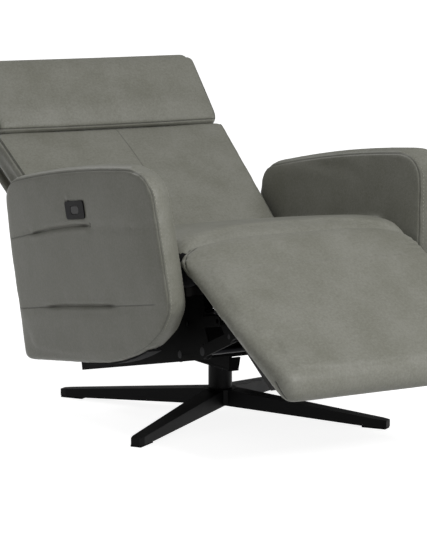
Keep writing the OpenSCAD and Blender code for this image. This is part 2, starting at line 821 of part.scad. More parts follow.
module arm_brackets() {
    leaned() for (y = bracket_places) translate([-arm_board_x, y - bracket_w / 2, bracket_z]) union() {
        cube([arm_board_x - plate_out, bracket_w, bracket_plate_t]);
        cube([bracket_plate_t, bracket_w, bracket_flange_h]);
        translate([arm_board_x - plate_out - bracket_plate_t, 0, 0])
            cube([bracket_plate_t, bracket_w, bracket_flange_h]);
    }
}
module left_arm_brackets() {
    color(black) arm_brackets();
}
module right_arm_brackets() {
    color(black) mirror([1, 0, 0]) arm_brackets();
}
module guide_pins() {
    color(steel) leaned() both_sides()
        rod_x(plate_in, guide_x + link_t + lever_gap, guide_pivot[0], guide_pivot[1], link_pin_d);
}

// Drive mounts under the deck
module drive_bracket(x, at) {
    difference() {
        union() {
            for (side = [-1, 1]) translate([x + side * (eye_w / 2 + lever_gap + lever_t / 2), 0, 0])
                along_x(-lever_t / 2, lever_t / 2) union() {
                    translate([at[0] - drive_lug_r, at[1]]) square([2 * drive_lug_r, deck_low - at[1]]);
                    disc(at[0], at[1], 2 * drive_lug_r);
                }
            translate([x - eye_w, at[0] - 2 * drive_lug_r, deck_low - lever_t])
                cube([2 * eye_w, 4 * drive_lug_r, lever_t]);
        }
        rod_x(x - 2 * eye_w, x + 2 * eye_w, at[0], at[1], drive_pin_d + 2 * running_gap);
    }
}
module drive_pin(x, at) {
    rod_x(x - eye_w, x + eye_w, at[0], at[1], drive_pin_d);
}
module drive_brackets() {
    color(black) leaned() {
        drive_bracket(drive_lane, back_drive);
        drive_bracket(-drive_lane, leg_drive);
        drive_bracket(0, [tilt_eye_y, tilt_eye_z]);
    }
}
module drive_pins() {
    color(steel) leaned() {
        drive_pin(drive_lane, back_drive);
        drive_pin(-drive_lane, leg_drive);
        drive_pin(0, [tilt_eye_y, tilt_eye_z]);
    }
}
module power_box() {
    color(charcoal) leaned() difference() {
        translate([box_x, box_y, deck_low - box_h]) cube([box_w, box_l, box_h]);
        translate([box_x + box_w / 2 - inlet_w / 2, box_y + box_l - inlet_t,
            deck_low - box_h / 2 - inlet_h / 2])
            cube([inlet_w, 2 * inlet_t, inlet_h]);
    }
}

// Hand control on the outer face of the left arm
module control_plate() {
    color("#2b2b2d") control_place() difference() {
        rounded_plate(control_l, control_h, control_r, control_t);
        translate([0, 0, control_t - key_t - key_sink]) rounded_plate(
            key_l + 2 * key_gap, key_h + 2 * key_gap, key_h / 2 - key_gap, control_t);
    }
}
module control_key() {
    color("#1a1a1b") control_place() union() {
        translate([0, 0, control_t - key_t + running_gap])
            rounded_plate(key_l, key_h, key_h / 2 - key_gap, key_t - key_gap / 2);
        translate([0, key_h / 2 - key_gap, control_t - key_t + running_gap]) rotate([90, 0, 0])
            cylinder(r = key_sink - running_gap, h = key_h - 2 * key_gap);
    }
}

// Back
module back_shaft() {
    color(steel) leaned() rod_x(-lug_in - link_t, lug_in + link_t, pivot_y, pivot_z, shaft_d);
}
module lever_pair(x, from, to, d) {
    difference() {
        union() {
            for (side = [-1, 1]) translate([x + side * (eye_w / 2 + lever_gap + lever_t / 2), 0, 0])
                along_x(-lever_t / 2, lever_t / 2) lever_outline(from, to, d);
            rod_x(x - eye_w, x + eye_w, to[0], to[1], drive_pin_d);
        }
        rod_x(x - 2 * eye_w, x + 2 * eye_w, from[0], from[1], d + 2 * running_gap);
    }
}
module lever_outline(from, to, d) {
    span = to - from;
    wide = [span[1], -span[0]] / norm(span) * drive_pin_d;
    polygon([from + wide, to + wide, to - wide, from - wide]);
    disc(from[0], from[1], d + 2 * link_t);
    disc(to[0], to[1], 2 * drive_pin_d);
}
module back_levers() {
    color(black) leaned() lever_pair(drive_lane, [pivot_y, pivot_z], back_eye, shaft_d);
}
module back_stile() {
    back_place() union() {
        translate([stile_out - stile_w, back_foot_along, -stile_deep - stile_t + seam_gap])
            cube([stile_w, back_l - back_foot_along - stile_w / 4, stile_t - seam_gap]);
        difference() {
            along_x(lug_in, lug_in + link_t) union() {
                polygon([[back_pivot_along - stile_t, back_pivot_deep - link_t],
                    [back_pivot_along + stile_t, back_pivot_deep + stile_t - link_t / 2],
                    [back_foot_along - link_t / 2, -stile_deep], [0, -stile_deep],
                    [0, -stile_deep - stile_t + seam_gap],
                    [back_foot_along - stile_t, -stile_deep - stile_t + seam_gap]]);
                disc(back_pivot_along, back_pivot_deep, 2 * shaft_lug_r - link_t / 2);
            }
            rod_x(lug_in - overrun, lug_in + link_t + overrun, back_pivot_along, back_pivot_deep,
                shaft_d + 2 * running_gap);
        }
    }
}
module right_back_stile() {
    color(black) back_stile();
}
module left_back_stile() {
    color(black) mirror([1, 0, 0]) back_stile();
}
module back_board() {
    color(plywood) back_place()
        translate([-back_low_w / 2 + back_edge, back_foot_along, -board_deep - back_board_t])
        cube([back_low_w - 2 * back_edge, back_l - back_foot_along - back_edge, back_board_t]);
}
module back_cushion() {
    rise = back_l - back_foot_along;
    foot_half = back_low_w / 2 + back_foot_along * (back_w - back_low_w) / 2 / back_l;
    color(hide) back_place() pad(back_w / 2, foot_half,
        slab_profile(back_foot_along, back_l, -back_cushion_t, 0, back_foot_r, back_foot_r,
            back_top_r, back_bow),
        back_foot_along, back_l, -back_cushion_t, 0, back_bow, back_top_r + back_bow);
}
module back_cover() {
    foot_half = back_low_w / 2 - back_edge;
    color(hide_shade) back_place() translate([0, 0, -cover_deep - back_cover_t])
        linear_extrude(back_cover_t) polygon([[-foot_half, back_foot_along],
            [foot_half, back_foot_along], [back_w / 2 - back_edge, back_l],
            [-back_w / 2 + back_edge, back_l]]);
}
module head_hinge_arms() {
    color(steel) back_place() both_sides() difference() {
        along_x(head_arm_in, head_arm_in + head_arm_t) union() {
            polygon([[back_l - 3 * stile_w, -cover_deep + seam_gap],
                [back_l + back_edge, -cover_deep + seam_gap],
                [head_along + head_arm_t, head_deep - head_arm_t / 2], [head_along - head_arm_t, head_deep],
                [back_l + seam_gap, -stile_deep], [back_l - 3 * stile_w, -stile_deep]]);
            disc(head_along, head_deep, 2 * head_arm_t);
        }
        rod_x(head_arm_in - overrun, head_arm_in + head_arm_t + overrun, head_along, head_deep,
            head_pin_d + 2 * running_gap);
    }
}

// Headrest, in the frame of its hinge
module head_pin() {
    color(steel) head_place() both_sides()
        rod_x(head_pin_from, head_pin_to, 0, 0, head_pin_d);
}
module head_board_block(gap) {
    from = [-head_top_w / 2 + head_round, head_board_along, -head_board_deep - back_board_t];
    size = [head_top_w - 2 * head_round, head_l - head_board_along - head_round, back_board_t];
    translate(from - gap * [1, 1, 1]) cube(size + 2 * gap * [1, 1, 1]);
}
module head_board() {
    color(plywood) head_place() head_board_block(0);
}
module head_cushion() {
    low = head_face - head_t;
    bow = back_bow;
    profile = concat(
        [[head_heel, low]],
        arc(head_l - head_round, low + head_round / 2, head_round / 2, head_round / 2, 270, 360, 2),
        arc(head_l - head_round, head_face - head_round, head_round, head_round, 0, 90, 5),
        [for (t = [1:face_steps - 1]) [(head_l - head_round) * (1 - t / face_steps), head_face]],
        arc(0, 0, head_roll, head_roll, 90, 235, 7));
    color(hide) head_place() difference() {
        pad(head_top_w / 2, head_w / 2, profile, -head_roll, head_l, low, head_face,
            bow, back_top_r + back_bow);
        both_sides() translate([head_arm_in - head_slot_gap, -head_l, low - head_face])
            cube([head_arm_t + 2 * head_slot_gap, head_l + head_heel, head_t + head_slot_gap * 3]);
        both_sides() rod_x(head_pin_from, head_pin_to, 0, 0, head_pin_d + 2 * running_gap);
        head_board_block(seam_gap);
    }
}

// Leg rest linkage
module leg_shaft() {
    color(steel) leaned() rod_x(-link_x - link_t, link_x + link_t, shaft_at[0], shaft_at[1], shaft_d);
}
module link_outline(from, to, from_d, to_d, wide) {
    span = to - from;
    across = [span[1], -span[0]] / norm(span) * wide / 2;
    difference() {
        union() {
            polygon([from + across, to + across, to - across, from - across]);
            disc(from[0], from[1], max(wide, from_d + 2 * link_t));
            disc(to[0], to[1], wide);
        }
        disc(from[0], from[1], from_d + 2 * running_gap);
        disc(to[0], to[1], to_d + 2 * running_gap);
    }
}
module leg_links() {
    color(black) leaned() both_sides() along_x(link_x, link_x + link_t)
        link_outline(shaft_at, link_end, shaft_d, link_pin_d, link_w);
}
module guide_links() {
    color(black) leaned() both_sides() along_x(guide_x, guide_x + link_t)
        link_outline(guide_pivot, guide_end, link_pin_d, link_pin_d, link_w - 2);
}
module leg_levers() {
    color(black) leaned() lever_pair(-drive_lane, shaft_at, leg_eye, shaft_d);
}
module leg_board() {
    color(plywood) leg_place()
        translate([-leg_board_half, -leg_l + 2 * leg_board_in, -leg_t - seam_gap - leg_board_t])
            cube([2 * leg_board_half, leg_l - bridge_l - 3 * leg_board_in, leg_board_t]);
}
module leg_brackets() {
    low = -leg_t - seam_gap - leg_board_t;
    color(black) leg_place() both_sides() difference() {
        along_x(bracket_x, bracket_x + bracket_t) union() {
            polygon([[-link_at - link_w, low], [-guide_at + link_w, low],
                [-guide_at + link_w / 2, -guide_deep - link_w / 4], [-link_at, -link_deep - link_w / 2],
                [-link_at - link_w / 2, -link_deep]]);
            disc(-link_at, -link_deep, link_w);
        }
        rod_x(bracket_x - overrun, bracket_x + bracket_t + overrun, -link_at, -link_deep,
            link_pin_d + 2 * running_gap);
    }
}
module leg_pins() {
    color(steel) leg_place() both_sides()
        rod_x(link_x, bracket_x + bracket_t, -link_at, -link_deep, link_pin_d);
}

// Drives, each along its own line from its mount to its push rod's eye
module drive_place(from, to, lane) {
    translate([lane, from[0], from[1]]) rotate([atan2(to[1] - from[1], to[0] - from[0]), 0, 0]) children();
}
module drive_motor(side) {
    difference() {
        union() {
            translate([-eye_w / 2, 0, -drive_lug_r]) cube([eye_w, gearbox_y + overrun, 2 * drive_lug_r]);
            rod_x(-eye_w / 2, eye_w / 2, 0, 0, 2 * drive_lug_r);
            translate([-gearbox_w / 2, gearbox_y, -gearbox_h / 2]) cube([gearbox_w, gearbox_l, gearbox_h]);
            translate([0, motor_y, side * (gearbox_h / 2 + motor_d / 2 - motor_lap)]) rotate([-90, 0, 0])
                cylinder(d = motor_d, h = motor_l);
        }
        rod_x(-eye_w, eye_w, 0, 0, drive_pin_d + 2 * running_gap);
    }
}
module drive_tube(l) {
    translate([0, gearbox_y + gearbox_l, 0]) rotate([-90, 0, 0]) difference() {
        cylinder(d = tube_d, h = l);
        translate([0, 0, -overrun]) cylinder(d = rod_d + 2 * running_gap, h = l + 2 * overrun);
    }
}
module push_rod(from, to, inside) {
    reach = norm(to - from);
    start = gearbox_y + gearbox_l + inside;
    difference() {
        union() {
            translate([0, start, 0]) rotate([-90, 0, 0]) cylinder(d = rod_d, h = reach - start - eye_r / 2);
            rod_x(-eye_w / 2, eye_w / 2, reach, 0, 2 * eye_r);
        }
        rod_x(-eye_w, eye_w, reach, 0, drive_pin_d + 2 * eye_play);
    }
}
module back_motor() {
    color(charcoal) leaned() drive_place(back_drive, back_eye, drive_lane) drive_motor(-1);
}
module back_drive_tube() {
    color(steel) leaned() drive_place(back_drive, back_eye, drive_lane) drive_tube(long_tube);
}
module back_push_rod() {
    color("#9a9a98") leaned() drive_place(back_drive, back_eye, drive_lane)
        push_rod(back_drive, back_eye, rod_inside);
}
module leg_motor() {
    color(charcoal) leaned() drive_place(leg_drive, leg_eye, -drive_lane) drive_motor(1);
}
module leg_drive_tube() {
    color(steel) leaned() drive_place(leg_drive, leg_eye, -drive_lane) drive_tube(long_tube);
}
module leg_push_rod() {
    color("#9a9a98") leaned() drive_place(leg_drive, leg_eye, -drive_lane)
        push_rod(leg_drive, leg_eye, rod_inside);
}
module tilt_motor() {
    color(charcoal) drive_place(tilt_drive, tilt_eye, 0) drive_motor(-1);
}
module tilt_drive_tube() {
    color(steel) drive_place(tilt_drive, tilt_eye, 0) drive_tube(short_tube);
}
module tilt_push_rod() {
    color("#9a9a98") drive_place(tilt_drive, tilt_eye, 0) push_rod(tilt_drive, tilt_eye, short_rod_inside);
}

star_base();
base_feet();
column_tube();
column_bush();
thrust_washer();
spindle();
spindle_bolt();
turn_plate();
turn_lugs();
turn_bolts();
tilt_shaft();
left_side_plate();
right_side_plate();
front_cross_rail();
rear_cross_tube();
seat_deck();
seat_cushion();
leg_bridge();
left_arm_brackets();
right_arm_brackets();
left_arm_board();
right_arm_board();
left_arm_pad();
right_arm_pad();
left_arm_base();
right_arm_base();
drive_brackets();
drive_pins();
guide_pins();
power_box();
control_plate();
control_key();
back_shaft();
back_levers();
left_back_stile();
right_back_stile();
back_board();
back_cushion();
back_cover();
head_hinge_arms();
head_pin();
head_board();
head_cushion();
leg_shaft();
leg_links();
leg_levers();
guide_links();
leg_board();
leg_brackets();
leg_pins();
leg_cushion();
back_motor();
back_drive_tube();
back_push_rod();
leg_motor();
leg_drive_tube();
leg_push_rod();
tilt_motor();
tilt_drive_tube();
tilt_push_rod();
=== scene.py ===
"""Looks of the star base swivel recliner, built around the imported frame.

Lengths in the dataclasses are millimetres, as an upholsterer's cutting list gives them.
Meshes are in metres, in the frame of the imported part.
"""

import logging
import math
from dataclasses import dataclass, field, replace
from enum import Enum
from typing import Any, Iterable, Optional, Sequence

import bmesh
import bpy
import numpy as np
from bpy.types import Material, Mesh, Node, NodeSocket, NodeTree, Object
from mathutils import Matrix, Vector
from mathutils.bvhtree import BVHTree

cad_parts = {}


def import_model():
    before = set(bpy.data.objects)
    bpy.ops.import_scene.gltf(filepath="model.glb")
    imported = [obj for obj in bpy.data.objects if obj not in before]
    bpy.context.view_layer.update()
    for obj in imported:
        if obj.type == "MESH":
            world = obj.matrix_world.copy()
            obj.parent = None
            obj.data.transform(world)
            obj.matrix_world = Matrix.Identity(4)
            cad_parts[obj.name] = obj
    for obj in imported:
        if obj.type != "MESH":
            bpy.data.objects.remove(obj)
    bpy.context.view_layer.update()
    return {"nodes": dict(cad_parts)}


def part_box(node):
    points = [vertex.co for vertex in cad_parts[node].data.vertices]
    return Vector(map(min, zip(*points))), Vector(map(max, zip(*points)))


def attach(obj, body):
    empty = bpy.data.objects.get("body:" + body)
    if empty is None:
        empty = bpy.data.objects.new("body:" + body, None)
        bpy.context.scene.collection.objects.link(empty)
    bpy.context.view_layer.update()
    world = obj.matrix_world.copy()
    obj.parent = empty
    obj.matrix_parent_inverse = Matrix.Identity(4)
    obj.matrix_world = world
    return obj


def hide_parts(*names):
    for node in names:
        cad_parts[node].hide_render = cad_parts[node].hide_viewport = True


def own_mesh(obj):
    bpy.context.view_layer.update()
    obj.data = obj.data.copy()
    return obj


LOG = logging.getLogger("recliner")
MM = 0.001

# Where the seat meets the leg rest, and the headrest's hinge along and over the back's face, in millimetres.
CREASE_Y, CREASE_Z = -343.0, 420.0
HINGE_S, HINGE_N = 376.0, -4.4

Point = tuple[float, float, float]


# ---------------------------------------------------------------- places


@dataclass(frozen=True)
class Place:
    """A frame that stands in the seat body's own level frame: its origin and its tilt.

    The chair is drawn laid back, so every level place leans by the seat's lean about the tilt shaft.
    """

    y: float = 0.0
    z: float = 0.0
    tilt: float = 0.0
    lean: float = 7.5
    shaft_y: float = -200.0
    shaft_z: float = 180.0

    def world(self, x: float, s: float, n: float) -> Vector:
        """Turns a local point into a point of the part's frame.

        Args:
            x: Across the chair, in millimetres.
            s: Along the place's face.
            n: Out of the place's face.

        Returns:
            The point in metres.
        """
        turn = math.radians(self.tilt)
        y = self.y + s * math.cos(turn) - n * math.sin(turn) - self.shaft_y
        z = self.z + s * math.sin(turn) + n * math.cos(turn) - self.shaft_z
        lean = math.radians(self.lean)
        return Vector((
            x,
            self.shaft_y + y * math.cos(lean) + z * math.sin(lean),
            self.shaft_z - y * math.sin(lean) + z * math.cos(lean),
        )) * MM

    def local(self, co: np.ndarray) -> np.ndarray:
        """Turns points of the part's frame into this place's own millimetres.

        Args:
            co: Points in metres, one a row.

        Returns:
            The same points as x, s and n.
        """
        lean = math.radians(self.lean)
        y = co[:, 1] / MM - self.shaft_y
        z = co[:, 2] / MM - self.shaft_z
        level_y = self.shaft_y + y * math.cos(lean) - z * math.sin(lean) - self.y
        level_z = self.shaft_z + y * math.sin(lean) + z * math.cos(lean) - self.z
        turn = math.radians(self.tilt)
        return np.stack([
            co[:, 0] / MM,
            level_y * math.cos(turn) + level_z * math.sin(turn),
            -level_y * math.sin(turn) + level_z * math.cos(turn),
        ], axis=1)

    def step(self, x: float, s: float, n: float) -> np.ndarray:
        """Returns a step in this place's directions as a vector of the part's frame."""
        return np.array(self.world(x, s, n) - self.world(0, 0, 0))


LEVEL = Place()
BACK = Place(176.0, 437.0, 42.7)
HEAD = Place(
    BACK.y + HINGE_S * math.cos(math.radians(BACK.tilt)) - HINGE_N * math.sin(math.radians(BACK.tilt)),
    BACK.z + HINGE_S * math.sin(math.radians(BACK.tilt)) + HINGE_N * math.cos(math.radians(BACK.tilt)),
    58.0,
)
LEG = Place(CREASE_Y, CREASE_Z, 41.0)


# ---------------------------------------------------------------- materials


def linear(code: str) -> tuple[float, float, float, float]:
    """Turns an sRGB hex colour into Blender's linear colour.

    Args:
        code: Such as "#76766c".

    Returns:
        Red, green, blue and alpha, linear.
    """
    parts = [int(code[i:i + 2], 16) / 255 for i in (1, 3, 5)]
    line = [c / 12.92 if c <= 0.04045 else ((c + 0.055) / 1.055) ** 2.4 for c in parts]
    return (line[0], line[1], line[2], 1.0)


def add_node(
    tree: NodeTree,
    kind: str,
    settings: Optional[dict[str, Any]] = None,
    links: Optional[dict[Any, Any]] = None,
) -> Node:
    """Adds one shader node with its settings and what feeds it.

    Args:
        tree: The material's tree.
        kind: The node's type after its "ShaderNode", such as "TexNoise".
        settings: Attributes of the node, or values of its inputs by name or number.
        links: Output sockets by the name or number of the input that they feed.

    Returns:
        The node.
    """
    node = tree.nodes.new("ShaderNode" + kind)
    for key, value in (settings or {}).items():
        if isinstance(key, int) or key in node.inputs:
            node.inputs[key].default_value = value
        else:
            setattr(node, key, value)
    for key, socket in (links or {}).items():
        tree.links.new(socket, node.inputs[key])
    return node


def ramp(
    tree: NodeTree, source: NodeSocket, low: tuple[float, str], high: tuple[float, str],
) -> NodeSocket:
    """Adds a colour ramp between two colours.

    Args:
        tree: The material's tree.
        source: The value that runs along the ramp.
        low: Where the ramp starts, and its sRGB colour there.
        high: Where it ends, and its colour there.

    Returns:
        The colour socket.
    """
    hue = add_node(tree, "ValToRGB", links={"Fac": source})
    for element, (place, code) in zip(hue.color_ramp.elements, (low, high)):
        element.position = place
        element.color = linear(code)
    return hue.outputs[0]


class Finish:
    """A surface finish. Each kind builds its own node tree once."""

    name: str = "finish"

    def material(self) -> Material:
        """Returns the finish's material, made on first use."""
        made = bpy.data.materials.get(self.name)
        if made is None:
            made = bpy.data.materials.new(self.name)
            made.use_nodes = True
            made.node_tree.nodes.clear()
            self.build(made.node_tree)
        return made

    def build(self, tree: NodeTree) -> None:
        """Fills the material's empty tree.

        Args:
            tree: The tree to fill.
        """
        raise NotImplementedError

    @staticmethod
    def close(tree: NodeTree, shader: Node) -> None:
        """Adds the output node.

        Args:
            tree: The tree to close.
            shader: The surface shader.
        """
        add_node(tree, "OutputMaterial", links={"Surface": shader.outputs[0]})


@dataclass(frozen=True)
class Leather(Finish):
    """Pigmented corrected-grain cowhide: an even colour, a small pebbled grain, a satin top coat.

    The real pebble is 0.8 mm wide. It is drawn 2.6 mm wide, because a finer one would not show.
    The hide clouds over about 90 mm, and the dye takes unevenly in flecks about 5 mm across.
    """

    name: str = "pigmented_cowhide"
    colour: str = "#82827a"
    dark: str = "#717167"
    # Colour of the painted shade towards which the leather darkens along seams and creases.
    seam: str = "#262622"
    cloud_mm: float = 90.0
    fleck_mm: float = 5.0
    pebble_mm: float = 2.6
    roughness: float = 0.5
    coat: float = 0.3

    def build(self, tree: NodeTree) -> None:
        """Fills the tree with clouds, flecks, pebbles, and the painted shade along the seams and creases."""
        place = add_node(tree, "TexCoord").outputs["Object"]
        cloud = add_node(tree, "TexNoise", {
            "Scale": 1 / (self.cloud_mm * MM), "Detail": 3.0, "Roughness": 0.55}, {"Vector": place})
        fleck = add_node(tree, "TexNoise", {
            "Scale": 1 / (self.fleck_mm * MM), "Detail": 4.0, "Roughness": 0.7}, {"Vector": place})
        mix = add_node(tree, "Math", {"operation": "MULTIPLY", 1: 0.4},
                       {0: cloud.outputs[0]})
        both = add_node(tree, "Math", {"operation": "MULTIPLY_ADD", 1: 0.6},
                        {0: fleck.outputs[0], 2: mix.outputs[0]})
        hue = ramp(tree, both.outputs[0], (0.38, self.dark), (0.62, self.colour))
        # Painted shade: the colour darkens towards `seam` along seams and creases, as the seam_shade attribute says.
        shade = add_node(tree, "Attribute", {"attribute_name": "seam_shade"})
        painted_shade_hue = add_node(tree, "Mix", {
            "data_type": "RGBA", 7: linear(self.seam)},
            {0: shade.outputs["Fac"], 6: hue})
        pebble = add_node(tree, "TexVoronoi", {
            "Scale": 1 / (self.pebble_mm * MM), "feature": "SMOOTH_F1", "Smoothness": 0.6},
            {"Vector": place})
        grain = add_node(tree, "Bump", {"Strength": 0.32, "Distance": 0.5 * MM, "invert": True},
                         {"Height": pebble.outputs["Distance"]})
        ripple = add_node(tree, "Bump", {"Strength": 0.16, "Distance": 1.2 * MM},
                          {"Height": fleck.outputs[0], "Normal": grain.outputs[0]})
        rough = add_node(tree, "Math", {"operation": "MULTIPLY_ADD", 1: 0.22,
                                                  2: self.roughness - 0.11}, {0: both.outputs[0]})
        shader = add_node(tree, "BsdfPrincipled", {"Specular IOR Level": self.coat}, {
            "Base Color": painted_shade_hue.outputs[2], "Roughness": rough.outputs[0], "Normal": ripple.outputs[0]})
        self.close(tree, shader)


@dataclass(frozen=True)
class Coated(Finish):
    """Metal or moulded plastic under one even colour, with a fine skin texture.

    Powder coat has an orange peel about 1.5 mm across, moulded ABS a spark-eroded grain of 0.4 mm.
    """

    name: str = "black_powder_coat"
    colour: str = "#050506"
    roughness: float = 0.48
    metallic: float = 0.0
    skin_mm: float = 1.5
    skin_depth: float = 0.12
    worn: str = "#09090a"
    sheen: float = 0.1

    def build(self, tree: NodeTree) -> None:
        """Fills the tree with the colour, its faint patches and the skin's bump."""
        place = add_node(tree, "TexCoord").outputs["Object"]
        patch = add_node(tree, "TexNoise", {"Scale": 24.0, "Detail": 3.0}, {"Vector": place})
        hue = ramp(tree, patch.outputs[0], (0.4, self.colour), (0.75, self.worn))
        skin = add_node(tree, "TexNoise", {"Scale": 1 / (self.skin_mm * MM), "Detail": 2.0},
                        {"Vector": place})
        bump = add_node(tree, "Bump", {"Strength": self.skin_depth, "Distance": 0.4 * MM},
                        {"Height": skin.outputs[0]})
        rough = add_node(tree, "Math", {"operation": "MULTIPLY_ADD", 1: 0.14,
                                                  2: self.roughness - 0.07}, {0: patch.outputs[0]})
        shader = add_node(tree, "BsdfPrincipled", {
            "Metallic": self.metallic, "Specular IOR Level": self.sheen}, {
            "Base Color": hue, "Roughness": rough.outputs[0], "Normal": bump.outputs[0]})
        self.close(tree, shader)


@dataclass(frozen=True)
class Plywood(Finish):
    """Beech plywood, sanded and raw: long pale fibres with darker pores, matt."""

    name: str = "beech_plywood"
    light: str = "#b9976a"
    dark: str = "#94713f"
    fibre_mm: float = 6.0

    def build(self, tree: NodeTree) -> None:
        """Fills the tree with fibres that run front to back."""
        place = add_node(tree, "TexCoord").outputs["Object"]
        long = add_node(tree, "Mapping", {"Scale": (1.0, 0.06, 1.0)}, {"Vector": place})
        fibre = add_node(tree, "TexNoise", {
            "Scale": 1 / (self.fibre_mm * MM), "Detail": 6.0, "Roughness": 0.65},
            {"Vector": long.outputs[0]})
        hue = ramp(tree, fibre.outputs[0], (0.35, self.dark), (0.65, self.light))
        bump = add_node(tree, "Bump", {"Strength": 0.2, "Distance": 0.4 * MM},
                        {"Height": fibre.outputs[0]})
        shader = add_node(tree, "BsdfPrincipled", {"Roughness": 0.68, "Specular IOR Level": 0.25}, {
            "Base Color": hue, "Normal": bump.outputs[0]})
        self.close(tree, shader)


@dataclass(frozen=True)
class Weave(Finish):
    """Plain woven polypropylene lining: 1.2 mm yarns, drawn 3 mm wide so that they show, quite matt."""

    name: str = "charcoal_lining"
    colour: str = "#131314"
    gap: str = "#09090a"
    yarn_mm: float = 3.0

    def build(self, tree: NodeTree) -> None:
        """Fills the tree with two crossing sets of yarns."""
        place = add_node(tree, "TexCoord").outputs["Object"]
        waves = []
        for axis in ("X", "Y"):
            waves.append(add_node(tree, "TexWave", {
                "bands_direction": axis, "Scale": 0.32 / (self.yarn_mm * MM), "Distortion": 0.3},
                {"Vector": place}))
        cross = add_node(tree, "Math", {"operation": "MAXIMUM"},
                         {0: waves[0].outputs[1], 1: waves[1].outputs[1]})
        hue = add_node(tree, "Mix", {
            "data_type": "RGBA", 6: linear(self.gap), 7: linear(self.colour)}, {0: cross.outputs[0]})
        bump = add_node(tree, "Bump", {"Strength": 0.5, "Distance": 0.5 * MM},
                        {"Height": cross.outputs[0]})
        shader = add_node(tree, "BsdfPrincipled", {"Roughness": 0.9, "Specular IOR Level": 0.2}, {
            "Base Color": hue.outputs[2], "Normal": bump.outputs[0]})
        self.close(tree, shader)


@dataclass(frozen=True)
class StudioFloor(Finish):
    """Pale painted floor: it takes the shadow, and reads as near white to the camera and in reflections.

    Its own light for those rays rises from `lift` near the chair to full white at `far_m`.
    """

    name: str = "studio_cove"
    colour: str = "#c0c0c0"
    lift: float = 0.885
    near_m: float = 1.0
    far_m: float = 4.5

    def build(self, tree: NodeTree) -> None:
        """Fills the tree with paint, and with light for camera, glossy and transmitted rays."""
        path = add_node(tree, "LightPath")
        seen = add_node(tree, "Math", {"operation": "MAXIMUM"}, {
            0: path.outputs["Is Camera Ray"], 1: path.outputs["Is Glossy Ray"]})
        through = add_node(tree, "Math", {"operation": "MAXIMUM"}, {
            0: seen.outputs[0], 1: path.outputs["Is Transmission Ray"]})
        place = add_node(tree, "TexCoord").outputs["Object"]
        reach = add_node(tree, "VectorMath", {"operation": "LENGTH"}, {0: place})
        glow_at = add_node(tree, "MapRange", {
            "interpolation_type": "SMOOTHSTEP", 1: self.near_m, 2: self.far_m, 3: self.lift, 4: 1.0},
            {0: reach.outputs["Value"]})
        power = add_node(tree, "Math", {"operation": "MULTIPLY"},
                         {0: through.outputs[0], 1: glow_at.outputs[0]})
        glow = add_node(tree, "Emission", {"Color": (1, 1, 1, 1)},
                        {"Strength": power.outputs[0]})
        paint = add_node(tree, "BsdfDiffuse", {"Color": linear(self.colour)})
        both = add_node(tree, "AddShader", links={0: paint.outputs[0], 1: glow.outputs[0]})
        self.close(tree, both)


class Look(Enum):
    """The chair's finishes."""

    LEATHER = Leather()
    # A darker copy of the leather, which paints the shade that falls on the headrest's piping.
    SHADE_PAINTED_WELT = Leather("cowhide_welt_painted_shade", "#5d5d55", "#4c4c45")
    POWDER = Coated()
    # The frame's coat made matt, and coloured darker than the base's coat to paint the shade under the seat.
    MECHANISM = Coated("matt_frame_coat_painted_shade", "#020202", 0.6, 0.0, 0.8, 0.1, "#040404", 0.04)
    BLACK_OXIDE = Coated("black_oxide_steel", "#0e0e10", 0.4, 0.9, 0.8, 0.08, "#161618")
    # Ground steel coloured far darker than its own bright colour, to paint the shade under the seat.
    ROD = Coated("ground_steel_rod_painted_shade", "#4a4a4d", 0.3, 1.0, 0.6, 0.05, "#5c5c60")
    TUBE = Coated("black_anodised_aluminium", "#111113", 0.45, 0.8, 0.8, 0.08, "#19191b")
    HOUSING = Coated("glass_filled_nylon", "#0a0a0b", 0.66, 0.0, 0.9, 0.3, "#101011")
    CONTROL = Coated("moulded_abs", "#0e0e0f", 0.45, 0.0, 0.7, 0.15, "#131314", 0.06)
    KEY = Coated("gloss_abs", "#09090a", 0.24, 0.0, 0.7, 0.05, "#0e0e0f", 0.12)
    RUBBER = Coated("moulded_rubber", "#090909", 0.8, 0.0, 1.0, 0.3, "#0f0f0f")
    NYLON = Coated("natural_nylon", "#d2d0c8", 0.5, 0.0, 1.0, 0.1, "#dcdad2")
    LINING = Weave()
    PLYWOOD = Plywood()
    DARK_PLY = Plywood("black_stained_plywood", "#141210", "#0c0b0a")
    THREAD = Coated("polyester_thread", "#8b8b80", 0.6, 0.0, 0.5, 0.4, "#9a9a8e", 0.4)


# ---------------------------------------------------------------- meshes


def piece_from(bm: bmesh.types.BMesh, name: str, look: Look) -> Object:
    """Turns a bmesh into a smooth-shaded object with its finish.

    Args:
        bm: The mesh, in metres, which is freed.
        name: The piece's name.
        look: Its finish.

    Returns:
        The object, linked to the scene.
    """
    mesh = bpy.data.meshes.new(name)
    for face in bm.faces:
        face.smooth = True
    bm.to_mesh(mesh)
    bm.free()
    mesh.materials.append(look.value.material())
    obj = bpy.data.objects.new(name, mesh)
    bpy.context.scene.collection.objects.link(obj)
    return obj


def stand_in(
    obj: Object, nodes: Sequence[str], body: str,
) -> None:
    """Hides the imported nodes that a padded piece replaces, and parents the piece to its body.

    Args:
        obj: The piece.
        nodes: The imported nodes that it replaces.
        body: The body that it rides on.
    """
    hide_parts(*nodes)
    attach(obj, body)
    LOG.info("%s: %d faces", obj.name, len(obj.data.polygons))


def read_co(mesh: Mesh) -> np.ndarray:
    """Returns a mesh's points, one a row."""
    co = np.zeros(len(mesh.vertices) * 3, np.float32)
    mesh.vertices.foreach_get("co", co)
    return co.reshape(-1, 3).astype(float)


def read_normals(mesh: Mesh) -> np.ndarray:
    """Returns a mesh's point normals, one a row."""
    out = np.zeros(len(mesh.vertices) * 3, np.float32)
    mesh.vertex_normals.foreach_get("vector", out)
    return out.reshape(-1, 3).astype(float)


